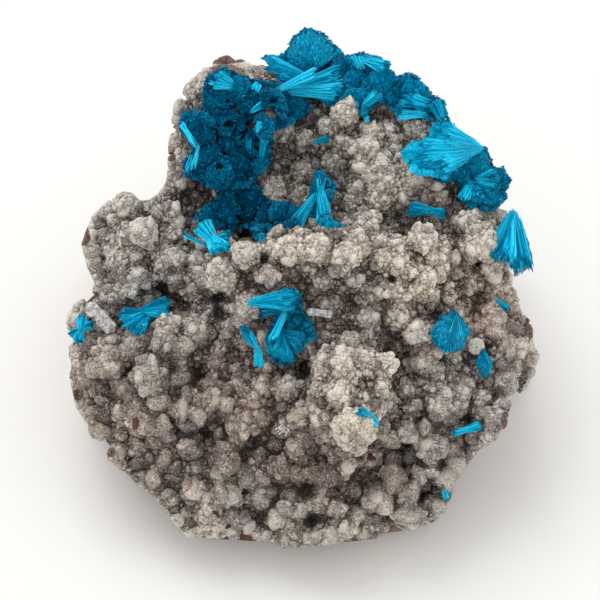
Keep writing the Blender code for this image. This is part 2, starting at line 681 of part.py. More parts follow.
def burst(centre, radius, home):
    """A ball of crystals with their points standing out all round."""
    obj = ball("burst", Vector(), (1.0, 1.0, 1.0), facing_turn(), 1, home)
    shape = bmesh.new()
    shape.from_mesh(obj.data)
    bmesh.ops.scale(shape, vec=Vector((BURST_CORE,) * 3) / MM, verts=shape.verts)
    points = bmesh.ops.poke(shape, faces=shape.faces[:])["verts"]
    for vert in points:
        vert.co = vert.co.normalized()
    shape.transform(Matrix.Translation(centre * MM) @ Matrix.Scale(radius * MM, 4))
    shape.to_mesh(obj.data)
    shape.free()
    return obj


def spray_piece(shape, tree, home):
    """One sheaf or burst, set on the rock where it is seen."""
    if shape[0] == BURST:
        (a, u), stands, radius = shape[1:]
        return burst(seen_at(a, u, rock_depth(tree, a, u) + stands), radius, home)
    (a0, u0), (a1, u1), root_out, tip_out, width, thickness, ridges = shape[1:]
    root_depth = rock_depth(tree, a0, u0) + root_out
    tip_depth = root_depth - SHEAF_DROOP
    for part in (0.5, 0.75, 1.0):
        below = rock_depth(tree, a0 + (a1 - a0) * part, u0 + (u1 - u0) * part)
        clear = below + root_out + (tip_out - root_out) * part
        tip_depth = max(tip_depth, root_depth + (clear - root_depth) / part)
    tip = seen_at(a1, u1, min(tip_depth, root_depth + SHEAF_CLIMB))
    return sheaf(seen_at(a0, u0, root_depth), tip, width, thickness, ridges, home)


def make_spray(name, shapes, tree, neighbours, finish, home, guides):
    """A cluster of sheaves and bursts grown together, clear of what it grew on and beside."""
    pieces = [spray_piece(shape, tree, guides) for shape in shapes]
    obj = put_in(bpy.data.objects.new(name, pieces[0].data.copy()), home)
    for piece in pieces[1:]:
        boolean(obj, "UNION", piece)
    settle(obj)
    return cut_clear(obj, neighbours, finish, guides)


def make_blade(name, blade, tree, neighbours, finish, home, guides):
    """A clear six-sided blade with pointed ends, lying on the crust."""
    (a0, u0), (a1, u1), stands, width, thickness = blade
    along = [step / 6 for step in range(7)]
    depth = max(rock_depth(tree, a0 + (a1 - a0) * t, u0 + (u1 - u0) * t) for t in along) + stands
    start, end = seen_at(a0, u0, depth), seen_at(a1, u1, depth)
    axis = end - start
    length = axis.length
    axis.normalize()
    bpy.ops.mesh.primitive_cylinder_add(vertices=6, radius=0.5, depth=length, end_fill_type="TRIFAN")
    obj = bpy.context.object
    obj.name = name
    for vert in obj.data.vertices:
        if math.hypot(vert.co.x, vert.co.y) > 1e-6:
            vert.co.z *= BLADE_SHOULDER
    side = axis.cross(OUT).normalized()
    place = Matrix((side, axis.cross(side), axis)).transposed().to_4x4()
    flat = Matrix.Diagonal((width, thickness, 1.0, 1.0))
    obj.data.transform(Matrix.Scale(MM, 4) @ Matrix.Translation((start + end) / 2) @ place @ flat)
    put_in(obj, home)
    return cut_clear(obj, neighbours, finish, guides)


def make_white_ball(tree, neighbours, finish, home, guides):
    (a, u), radius = WHITE_BALL
    centre = seen_at(a, u, rock_depth(tree, a, u) + radius * WHITE_BALL_STANDS)
    obj = ball("white_zeolite_ball", centre, (radius,) * 3, facing_turn(), 2, home)
    obj.hide_render = False
    obj.display_type = "TEXTURED"
    return cut_clear(obj, neighbours, finish, guides)


def box_of(obj):
    points = [vert.co for vert in obj.data.vertices]
    low = [min(point[axis] for point in points) - GAP * MM for axis in range(3)]
    high = [max(point[axis] for point in points) + GAP * MM for axis in range(3)]
    return low, high


def near(obj, other):
    """Whether the boxes of two pieces meet."""
    (low, high), (other_low, other_high) = box_of(obj), box_of(other)
    return all(low[axis] < other_high[axis] and other_low[axis] < high[axis] for axis in range(3))


def cut_clear(obj, neighbours, finish, guides):
    """Cuts a piece clear of the neighbours made before it, joins their list and gets its material."""
    for neighbour in neighbours:
        if near(obj, neighbour):
            boolean(obj, "DIFFERENCE", inflated(neighbour, GAP, "room", guides), "MANIFOLD")
            boolean(obj, "DIFFERENCE", neighbour, "MANIFOLD")
    settle(obj)
    neighbours.append(obj)
    obj.data.materials.clear()
    obj.data.materials.append(finish)
    return obj


def main():
    for obj in list(bpy.data.objects):
        bpy.data.objects.remove(obj)
    specimen = collection("cavansite specimen")
    guides = collection("cutters and guides")
    blue = material("cavansite", CAVANSITE)
    clear = material("stilbite", STILBITE)

    rock = make_rock(guides)
    tree = surface_of(rock)
    basalt = make_basalt(tree, material("basalt", BASALT), specimen, guides)
    crust = make_crust(rock, basalt, material("zeolite crust", ZEOLITE_CRUST), specimen, guides)
    neighbours = [crust, basalt]
    for name, shapes in SPRAYS.items():
        make_spray(name, shapes, tree, neighbours, blue, specimen, guides)
    for name, blade in BLADES.items():
        make_blade(name, blade, tree, neighbours, clear, specimen, guides)
    make_white_ball(tree, neighbours, material("white zeolite", WHITE_ZEOLITE), specimen, guides)
    for obj in specimen.objects:
        obj.data.transform(Matrix.Translation(SHIFT * MM))


main()
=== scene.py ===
"""Looks of a cavansite specimen: blue crystal sprays on a knobbly zeolite crust over broken basalt.

The specimen is seen as in the photograph, from the front and 50 degrees above. Places on its display side are
given as that view shows them: millimetres across and up from the middle of the frame.
"""

from __future__ import annotations

import json
import logging
import math
from dataclasses import dataclass, field
from enum import Enum

import bmesh
import bpy
import numpy as np
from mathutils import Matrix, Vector, noise
from mathutils.bvhtree import BVHTree

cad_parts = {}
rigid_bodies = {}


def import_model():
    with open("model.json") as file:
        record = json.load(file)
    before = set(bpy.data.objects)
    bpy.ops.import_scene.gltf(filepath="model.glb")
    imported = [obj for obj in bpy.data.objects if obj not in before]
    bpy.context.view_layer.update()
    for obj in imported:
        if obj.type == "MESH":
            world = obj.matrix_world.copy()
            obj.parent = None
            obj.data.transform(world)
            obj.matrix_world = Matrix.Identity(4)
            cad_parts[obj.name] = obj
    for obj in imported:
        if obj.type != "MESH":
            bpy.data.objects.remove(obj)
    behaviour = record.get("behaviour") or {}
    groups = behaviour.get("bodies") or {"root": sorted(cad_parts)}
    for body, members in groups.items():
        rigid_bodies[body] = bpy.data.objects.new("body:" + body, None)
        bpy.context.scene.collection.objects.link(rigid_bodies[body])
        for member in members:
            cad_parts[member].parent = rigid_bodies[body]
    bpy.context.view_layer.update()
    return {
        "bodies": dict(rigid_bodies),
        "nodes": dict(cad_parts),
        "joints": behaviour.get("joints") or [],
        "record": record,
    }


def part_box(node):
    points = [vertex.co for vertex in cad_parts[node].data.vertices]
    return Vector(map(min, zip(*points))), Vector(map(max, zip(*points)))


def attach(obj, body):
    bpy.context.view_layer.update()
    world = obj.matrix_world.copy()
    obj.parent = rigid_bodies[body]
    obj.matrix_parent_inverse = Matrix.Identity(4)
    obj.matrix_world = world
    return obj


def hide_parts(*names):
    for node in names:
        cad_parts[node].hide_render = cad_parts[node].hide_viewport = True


LOG = logging.getLogger("cavansite")
MM = 0.001
BODY = "root"
GOLDEN_ANGLE = math.pi * (3.0 - math.sqrt(5.0))
GOLDEN_STEP = 0.6180339887

# A distance in millimetres that is more than any between neighbours.
FAR = 9.0

# Most triangles that one piece gets, a little under what keeps its mesh whole.
PIECE_LIMIT = 190000

# Share of that which a part of a cut body may start with, because the cuts add faces.
CUT_ROOM = 0.93

# The stains of the crust, which its mesh carries and its finish reads; dull also darkens the caves and the
# under-edge as painted shade.
TINTS = ("cream", "pink", "dull", "olive", "bare")

Place = tuple[float, float]
Hex = str


def linear(colour: Hex) -> tuple[float, float, float, float]:
    """Turns an sRGB hex colour into the linear values that a shader takes.

    Args:
        colour: Six hex digits, such as "8c8177".

    Returns:
        Red, green, blue and an alpha of 1.
    """
    values = [int(colour[i:i + 2], 16) / 255.0 for i in (0, 2, 4)]
    lit = [v / 12.92 if v <= 0.04045 else ((v + 0.055) / 1.055) ** 2.4 for v in values]
    return (lit[0], lit[1], lit[2], 1.0)


def add_node(tree: bpy.types.NodeTree, kind: str, links: dict | None = None, values: dict | None = None,
             **settings) -> bpy.types.Node:
    """Adds a node, sets its properties and inputs, and links what feeds it.

    Args:
        tree: The material's node tree.
        kind: The node's Blender type, such as "ShaderNodeTexNoise".
        links: Input name or number to the output socket that feeds it.
        values: Input name or number to its own value.
        settings: Node properties by name.

    Returns:
        The new node.
    """
    node = tree.nodes.new(kind)
    for name, value in settings.items():
        setattr(node, name, value)
    for name, value in (values or {}).items():
        node.inputs[name].default_value = value
    for name, socket in (links or {}).items():
        tree.links.new(socket, node.inputs[name])
    return node


def start_material(name: str) -> tuple[bpy.types.Material, bpy.types.NodeTree, bpy.types.Node,
                                       bpy.types.NodeSocket]:
    """Starts a material.

    Args:
        name: What the real thing is.

    Returns:
        The material, its node tree, its shader, and the object coordinates that its patterns read.
    """
    material = bpy.data.materials.new(name)
    material.use_nodes = True
    tree = material.node_tree
    where = add_node(tree, "ShaderNodeTexCoord").outputs["Object"]
    return material, tree, tree.nodes["Principled BSDF"], where


def set_stops(ramp: bpy.types.Node, stops: tuple[tuple[float, Hex], ...]) -> None:
    """Gives a colour ramp its stops, from places and sRGB colours."""
    for number, (place, colour) in enumerate(stops):
        elements = ramp.color_ramp.elements
        stop = elements[number] if number < 2 else elements.new(place)
        stop.position = place
        stop.color = linear(colour)


@dataclass(frozen=True)
class Viewpoint:
    """Where the photograph was taken from.

    Attributes:
        elevation: Degrees above the horizon.
        distance: Millimetres from the camera to the point that it looks at.
        middle: That point, in millimetres.
        frame_width: Millimetres that the frame is wide at that point.
        sensor: Width of the camera's sensor, in millimetres.
    """

    elevation: float = 50.0
    distance: float = 400.0
    middle: tuple[float, float, float] = (-0.2, 1.6, 25.0)
    frame_width: float = 114.0
    sensor: float = 36.0

    @property
    def across(self) -> Vector:
        """The direction to the right of the frame."""
        return Vector((1.0, 0.0, 0.0))

    @property
    def up(self) -> Vector:
        """The direction to the top of the frame."""
        angle = math.radians(self.elevation)
        return Vector((0.0, math.sin(angle), math.cos(angle)))

    @property
    def out(self) -> Vector:
        """The direction to the camera."""
        angle = math.radians(self.elevation)
        return Vector((0.0, -math.cos(angle), math.sin(angle)))

    @property
    def eye(self) -> Vector:
        """Where the camera stands, in metres."""
        return (Vector(self.middle) + self.out * self.distance) * MM

    def at(self, across: float, up: float, out: float) -> Vector:
        """The point in metres that is seen at (across, up), out millimetres nearer than the middle."""
        nearer = 1.0 - out / self.distance
        shift = self.across * (across * nearer) + self.up * (up * nearer) + self.out * out
        return (Vector(self.middle) + shift) * MM

    def seen(self, points: np.ndarray) -> np.ndarray:
        """Where points in metres are seen.

        Args:
            points: One point a row.

        Returns:
            Millimetres across and up, one row a point.
        """
        off = points / MM - np.array(self.middle)
        nearer = 1.0 - off @ np.array(self.out) / self.distance
        return np.stack([off @ np.array(self.across), off @ np.array(self.up)], axis=1) / nearer[:, None]

    def make_camera(self) -> None:
        """Adds the camera and makes it the scene's own."""
        bpy.ops.object.camera_add(location=self.eye)
        camera = bpy.context.object
        camera.name = "camera"
        camera.data.sensor_width = self.sensor
        camera.data.lens = self.sensor * self.distance / self.frame_width
        camera.data.clip_start = 0.01
        camera.rotation_mode = "QUATERNION"
        camera.rotation_quaternion = (-self.out).to_track_quat("-Z", "Y")
        bpy.context.scene.camera = camera


VIEW = Viewpoint()


def clear_selection() -> None:
    """Deselects everything, so that an operator acts on the next new object alone."""
    bpy.ops.object.select_all(action="DESELECT")


def only(*objects: bpy.types.Object) -> None:
    """Selects these objects and makes the first one active."""
    clear_selection()
    for obj in objects:
        obj.select_set(True)
    bpy.context.view_layer.objects.active = objects[0]


def apply_modifiers(obj: bpy.types.Object) -> None:
    """Applies all of an object's modifiers in order."""
    only(obj)
    for modifier in list(obj.modifiers):
        bpy.ops.object.modifier_apply(modifier=modifier.name)


def merged_copy(node: str, name: str) -> bpy.types.Object:
    """Copies a node's mesh, with its loose triangles merged into one skin.

    Args:
        node: The node's name.
        name: The new piece's name.

    Returns:
        The new object, which stands where the node does.
    """
    source = bpy.data.objects[node]
    obj = bpy.data.objects.new(name, source.data.copy())
    bpy.context.scene.collection.objects.link(obj)
    obj.data.materials.clear()
    shape = bmesh.new()
    shape.from_mesh(obj.data)
    bmesh.ops.remove_doubles(shape, verts=shape.verts, dist=0.001 * MM)
    shape.to_mesh(obj.data)
    shape.free()
    return obj


def remesh(obj: bpy.types.Object, voxel: float, rounds: int) -> None:
    """Makes an object one even skin and rounds it off.

    Args:
        obj: The object, whose parts may overlap.
        voxel: Size of the new faces, in millimetres.
        rounds: How often the skin is smoothed.
    """
    skin = obj.modifiers.new("one skin", "REMESH")
    skin.mode = "VOXEL"
    skin.voxel_size = voxel * MM
    if rounds:
        rounding = obj.modifiers.new("rounded", "SMOOTH")
        rounding.factor = 0.5
        rounding.iterations = rounds
    apply_modifiers(obj)


def points_of(mesh: bpy.types.Mesh) -> np.ndarray:
    """The places of a mesh's vertices, one a row."""
    values = np.empty(len(mesh.vertices) * 3, np.float32)
    mesh.vertices.foreach_get("co", values)
    return values.reshape(-1, 3).astype(float)


def normals_of(mesh: bpy.types.Mesh) -> np.ndarray:
    """The normals of a mesh's vertices, one a row."""
    values = np.empty(len(mesh.vertices) * 3, np.float32)
    mesh.vertex_normals.foreach_get("vector", values)
    return values.reshape(-1, 3).astype(float)


def edges_of(mesh: bpy.types.Mesh) -> np.ndarray:
    """The vertex numbers of a mesh's edges, one a row."""
    values = np.empty(len(mesh.edges) * 2, np.int32)
    mesh.edges.foreach_get("vertices", values)
    return values.reshape(-1, 2)


def triangles_of(mesh: bpy.types.Mesh) -> np.ndarray:
    """The vertex numbers of a mesh's triangles, one a row."""
    mesh.calc_loop_triangles()
    values = np.empty(len(mesh.loop_triangles) * 3, np.int32)
    mesh.loop_triangles.foreach_get("vertices", values)
    return values.reshape(-1, 3)


def set_points(mesh: bpy.types.Mesh, points: np.ndarray) -> None:
    """Moves a mesh's vertices to these places."""
    mesh.vertices.foreach_set("co", points.astype(np.float32).ravel())
    mesh.update()


def set_attribute(mesh: bpy.types.Mesh, name: str, values: np.ndarray) -> None:
    """Gives each vertex a number that the material reads."""
    attribute = mesh.attributes.get(name) or mesh.attributes.new(name, "FLOAT", "POINT")
    attribute.data.foreach_set("value", values.astype(np.float32))


def mesh_object(name: str, points: np.ndarray, triangles: np.ndarray, smooth: bool = False,
                attributes: dict[str, np.ndarray] | None = None) -> bpy.types.Object:
    """Makes one object of arrays.

    Args:
        name: The piece's name.
        points: Vertex places in metres, one a row.
        triangles: Vertex numbers, three a row.
        smooth: Whether the faces are shaded smooth.
        attributes: A number for each vertex, by name.

    Returns:
        The new object.
    """
    mesh = bpy.data.meshes.new(name)
    mesh.vertices.add(len(points))
    mesh.vertices.foreach_set("co", points.astype(np.float32).ravel())
    mesh.loops.add(triangles.size)
    mesh.loops.foreach_set("vertex_index", triangles.astype(np.int32).ravel())
    mesh.polygons.add(len(triangles))
    mesh.polygons.foreach_set("loop_start", np.arange(0, triangles.size, 3, dtype=np.int32))
    mesh.polygons.foreach_set("use_smooth", np.full(len(triangles), smooth))
    mesh.update(calc_edges=True)
    for key, values in (attributes or {}).items():
        set_attribute(mesh, key, values)
    obj = bpy.data.objects.new(name, mesh)
    bpy.context.scene.collection.objects.link(obj)
    return obj


def evened_out(points: np.ndarray, edges: np.ndarray, rounds: int) -> np.ndarray:
    """Where a mesh's vertices come to lie when each moves between its neighbours again and again.

    Args:
        points: Vertex places.
        edges: Vertex numbers, two a row.
        rounds: How often they move.

    Returns:
        The new places.
    """
    count = len(points)
    ends = np.concatenate([edges[:, 0], edges[:, 1]])
    others = np.concatenate([edges[:, 1], edges[:, 0]])
    shares = np.maximum(np.bincount(ends, minlength=count), 1)
    for _ in range(rounds):
        columns = [np.bincount(ends, weights=points[others, k], minlength=count) / shares for k in range(3)]
        points = points * 0.4 + np.stack(columns, axis=1) * 0.6
    return points


@dataclass
class Stamp:
    """A small closed shape that is modelled once and set down many times.

    Attributes:
        points: Its vertices, one a row, in its own units.
        triangles: Its faces.
    """

    points: np.ndarray
    triangles: np.ndarray

    @classmethod
    def take(cls, obj: bpy.types.Object) -> Stamp:
        """Reads a modelled object and removes it."""
        stamp = cls(points_of(obj.data), triangles_of(obj.data))
        bpy.data.objects.remove(obj)
        return stamp

    @classmethod
    def ball(cls, finer: int) -> Stamp:
        """A ball with a radius of 1, of 20 faces for finer 1, 80 for 2 and 320 for 3."""
        clear_selection()
        bpy.ops.mesh.primitive_ico_sphere_add(subdivisions=finer, radius=1.0)
        return cls.take(bpy.context.object)

    @classmethod
    def needle(cls, sides: int, shoulder: float) -> Stamp:
        """A crystal that widens from a point at 0 to its shoulder, and ends in a point at 1.

        Args:
            sides: Faces round it.
            shoulder: Height of the widest place.

        Returns:
            The crystal, with a length and a radius of 1.
        """
        clear_selection()
        bpy.ops.mesh.primitive_cone_add(vertices=sides, radius1=1.0, radius2=0.0, depth=1.0 - shoulder,
                                        location=(0.0, 0.0, (1.0 + shoulder) / 2.0))
        obj = bpy.context.object
        obj.data.transform(obj.matrix_basis)
        bpy.ops.object.mode_set(mode="EDIT")
        bpy.ops.mesh.select_mode(type="FACE")
        bpy.ops.mesh.select_all(action="DESELECT")
        bpy.ops.object.mode_set(mode="OBJECT")
        for face in obj.data.polygons:
            face.select = face.normal.z < -0.9
        bpy.ops.object.mode_set(mode="EDIT")
        bpy.ops.mesh.poke()
        bpy.ops.object.mode_set(mode="OBJECT")
        for vert in obj.data.vertices:
            if math.hypot(vert.co.x, vert.co.y) < 0.01 and vert.co.z < 0.999:
                vert.co.z = 0.0
        return cls.take(obj)

    def set_down(self, shaped: np.ndarray) -> tuple[np.ndarray, np.ndarray]:
        """Joins many copies.

        Args:
            shaped: The vertices of each copy, as copies by vertices by 3.

        Returns:
            All points, and all triangles.
        """
        starts = np.arange(len(shaped)) * len(self.points)
        triangles = self.triangles[None, :, :] + starts[:, None, None]
        return shaped.reshape(-1, 3), triangles.reshape(-1, 3)


def turns_onto(directions: np.ndarray, rolls: np.ndarray) -> np.ndarray:
    """Rotations that bring +Z onto each direction.

    Args:
        directions: Unit vectors, one a row.
        rolls: Turn about each direction, in radians.

    Returns:
        Matrices whose columns are the turned X, Y and Z.
    """
    helper = np.where(np.abs(directions[:, 2:3]) < 0.9, [[0.0, 0.0, 1.0]], [[1.0, 0.0, 0.0]])
    first = np.cross(helper, directions)
    first /= np.linalg.norm(first, axis=1, keepdims=True)
    second = np.cross(directions, first)
    cos, sin = np.cos(rolls)[:, None], np.sin(rolls)[:, None]
    return np.stack([first * cos + second * sin, second * cos - first * sin, directions], axis=2)


class Skin:
    """A surface that crystals and grains grow on."""

    def __init__(self, points: np.ndarray, triangles: np.ndarray) -> None:
        """Builds the search tree.

        Args:
            points: Vertex places, one a row.
            triangles: Vertex numbers, three a row.
        """
        self.points = points
        self.triangles = triangles
        self.tree = BVHTree.FromPolygons(points.tolist(), triangles.tolist())

    @classmethod
    def of_mesh(cls, mesh: bpy.types.Mesh) -> Skin:
        """The skin of one mesh."""
        return cls(points_of(mesh), triangles_of(mesh))

    @classmethod
    def of_nodes(cls, names: list[str]) -> Skin:
        """The skin of several nodes together."""
        points, triangles, start = [], [], 0
        for name in names:
            mesh = bpy.data.objects[name].data
            points.append(points_of(mesh))
            triangles.append(triangles_of(mesh) + start)
            start += len(points[-1])
        return cls(np.concatenate(points), np.concatenate(triangles))

    def depth(self, across: float, up: float) -> float:
        """How far out the skin stands, in millimetres, where it is seen, or at the nearest place on it."""
        for step in range(40):
            nearer = 1.0 - 0.02 * step
            ray = (VIEW.at(across * nearer, up * nearer, 0.0) - VIEW.eye).normalized()
            point = self.tree.ray_cast(VIEW.eye, ray)[0]
            if point is not None:
                return (point / MM - Vector(VIEW.middle)).dot(VIEW.out)
        return 0.0

    def hit(self, across: float, up: float) -> tuple[Vector, Vector]:
        """The point of the skin that is seen at a place, and the skin's direction outwards there."""
        ray = (VIEW.at(across, up, 0.0) - VIEW.eye).normalized()
        point, normal = self.tree.ray_cast(VIEW.eye, ray)[:2]
        if point is None:
            return VIEW.at(across, up, self.depth(across, up)), VIEW.out
        return point, normal if normal.dot(VIEW.out) > 0.0 else -normal

    def far_from(self, places: np.ndarray, room: np.ndarray) -> np.ndarray:
        """Whether each place has this much room in metres between it and the skin."""
        pairs = zip(places.tolist(), room.tolist())
        return np.array([self.tree.find_nearest(place, space)[0] is None for place, space in pairs])

    def scatter(self, count: int, rng: np.random.Generator, normals: np.ndarray,
                allowed: np.ndarray) -> tuple[np.ndarray, np.ndarray, np.ndarray]:
        """Random places spread evenly over a part of the skin.

        Args:
            count: How many places.
            rng: The source of chance.
            normals: The direction outwards at each vertex.
            allowed: Whether each vertex may have something on it.

        Returns:
            Places, directions outwards, and the number of the nearest corner of the triangle.
        """
        corners = self.points[self.triangles]
        area = np.linalg.norm(np.cross(corners[:, 1] - corners[:, 0], corners[:, 2] - corners[:, 0]), axis=1)
        area = area * allowed[self.triangles].all(axis=1)
        chosen = rng.choice(len(area), count, p=area / area.sum())
        a, b = rng.random(count), rng.random(count)
        flip = a + b > 1.0
        a[flip], b[flip] = 1.0 - a[flip], 1.0 - b[flip]
        weights = np.stack([1.0 - a - b, a, b], axis=1)
        places = (corners[chosen] * weights[:, :, None]).sum(axis=1)
        outward = (normals[self.triangles[chosen]] * weights[:, :, None]).sum(axis=1)
        outward /= np.linalg.norm(outward, axis=1, keepdims=True) + 1e-12
        return places, outward, self.triangles[chosen, weights.argmax(axis=1)]


def thin_out(places: np.ndarray, room: np.ndarray) -> np.ndarray:
    """Keeps places that leave each other enough room, in the order they come.

    Args:
        places: Points in metres, one a row.
        room: The radius that each point keeps free, in metres.

    Returns:
        The numbers of the kept places.
    """
    cell = 2.0 * float(room.max())
    grid: dict[tuple[int, int, int], list[tuple[float, float, float, float]]] = {}
    steps = [(i, j, k) for i in (-1, 0, 1) for j in (-1, 0, 1) for k in (-1, 0, 1)]
    keys = np.floor(places / cell).astype(int).tolist()
    kept = []
    for number, ((a, b, c), (x, y, z), r) in enumerate(zip(keys, places.tolist(), room.tolist())):
        near = [spot for i, j, k in steps for spot in grid.get((a + i, b + j, c + k), ())]
        if all((x - u) ** 2 + (y - v) ** 2 + (z - w) ** 2 >= (r + s) ** 2 for u, v, w, s in near):
            grid.setdefault((a, b, c), []).append((x, y, z, r))
            kept.append(number)
    return np.array(kept, int)


def smooth_noise(points: np.ndarray, size: float, seed: float) -> np.ndarray:
    """Smooth noise from -1 to 1 whose swells are size metres wide."""
    off = Vector((seed, seed * 0.7, -seed))
    return np.array([noise.noise(Vector(p) / size + off) for p in points.tolist()])


@dataclass(frozen=True)
class Patch:
    """A soft-edged round patch of the display side.

    Attributes:
        across: Its middle, millimetres across.
        up: Its middle, millimetres up.
        wide: Half its width, in millimetres.
        high: Half its height, in millimetres.
        strength: How much of it shows, from 0 to 1.
    """

    across: float
    up: float
    wide: float
    high: float
    strength: float = 1.0

    def weight(self, seen: np.ndarray) -> np.ndarray:
        """How much of the patch each seen place has."""
        off = ((seen[:, 0] - self.across) / self.wide) ** 2 + ((seen[:, 1] - self.up) / self.high) ** 2
        return self.strength * np.exp(-off * off)


def painted(patches: list[Patch], points: np.ndarray) -> np.ndarray:
    """How much of any of the patches each point has, from 0 to 1."""
    seen = VIEW.seen(points)
    return np.clip(sum(patch.weight(seen) for patch in patches), 0.0, 1.0)


def inside(outline: tuple[Place, ...], seen: np.ndarray) -> np.ndarray:
    """Whether each seen place lies inside a closed outline."""
    within = np.zeros(len(seen), bool)
    for (ax, ay), (bx, by) in zip(outline, [*outline[1:], outline[0]]):
        crosses = (ay > seen[:, 1]) != (by > seen[:, 1])
        reach = ax + (seen[:, 1] - ay) / (by - ay + 1e-9) * (bx - ax)
        within ^= crosses & (seen[:, 0] < reach)
    return within


def nearest_on(outline: tuple[Place, ...], seen: np.ndarray) -> np.ndarray:
    """The place on a closed outline that is nearest to each seen place."""
    nearest, places = np.full(len(seen), np.inf), np.zeros_like(seen)
    for start, end in zip(np.array(outline), np.roll(np.array(outline), -1, axis=0)):
        side = end - start
        along = np.clip((seen - start) @ side / (side @ side), 0.0, 1.0)
        spots = start + along[:, None] * side
        far = np.hypot(seen[:, 0] - spots[:, 0], seen[:, 1] - spots[:, 1])
        closer = far < nearest
        nearest[closer], places[closer] = far[closer], spots[closer]
    return places


def room_within(outline: tuple[Place, ...], seen: np.ndarray) -> np.ndarray:
    """How far inside a closed outline each seen place lies, in millimetres, or less than 0 outside it."""
    off = seen - nearest_on(outline, seen)
    return np.where(inside(outline, seen), 1.0, -1.0) * np.hypot(off[:, 0], off[:, 1])


def drawn_inside(outline: tuple[Place, ...], points: np.ndarray) -> np.ndarray:
    """Moves points in metres that are seen outside an outline to it, straight across the line of sight."""
    seen = VIEW.seen(points)
    shift = (nearest_on(outline, seen) - seen) * ~inside(outline, seen)[:, None]
    return points + (shift[:, :1] * np.array(VIEW.across) + shift[:, 1:] * np.array(VIEW.up)) * MM


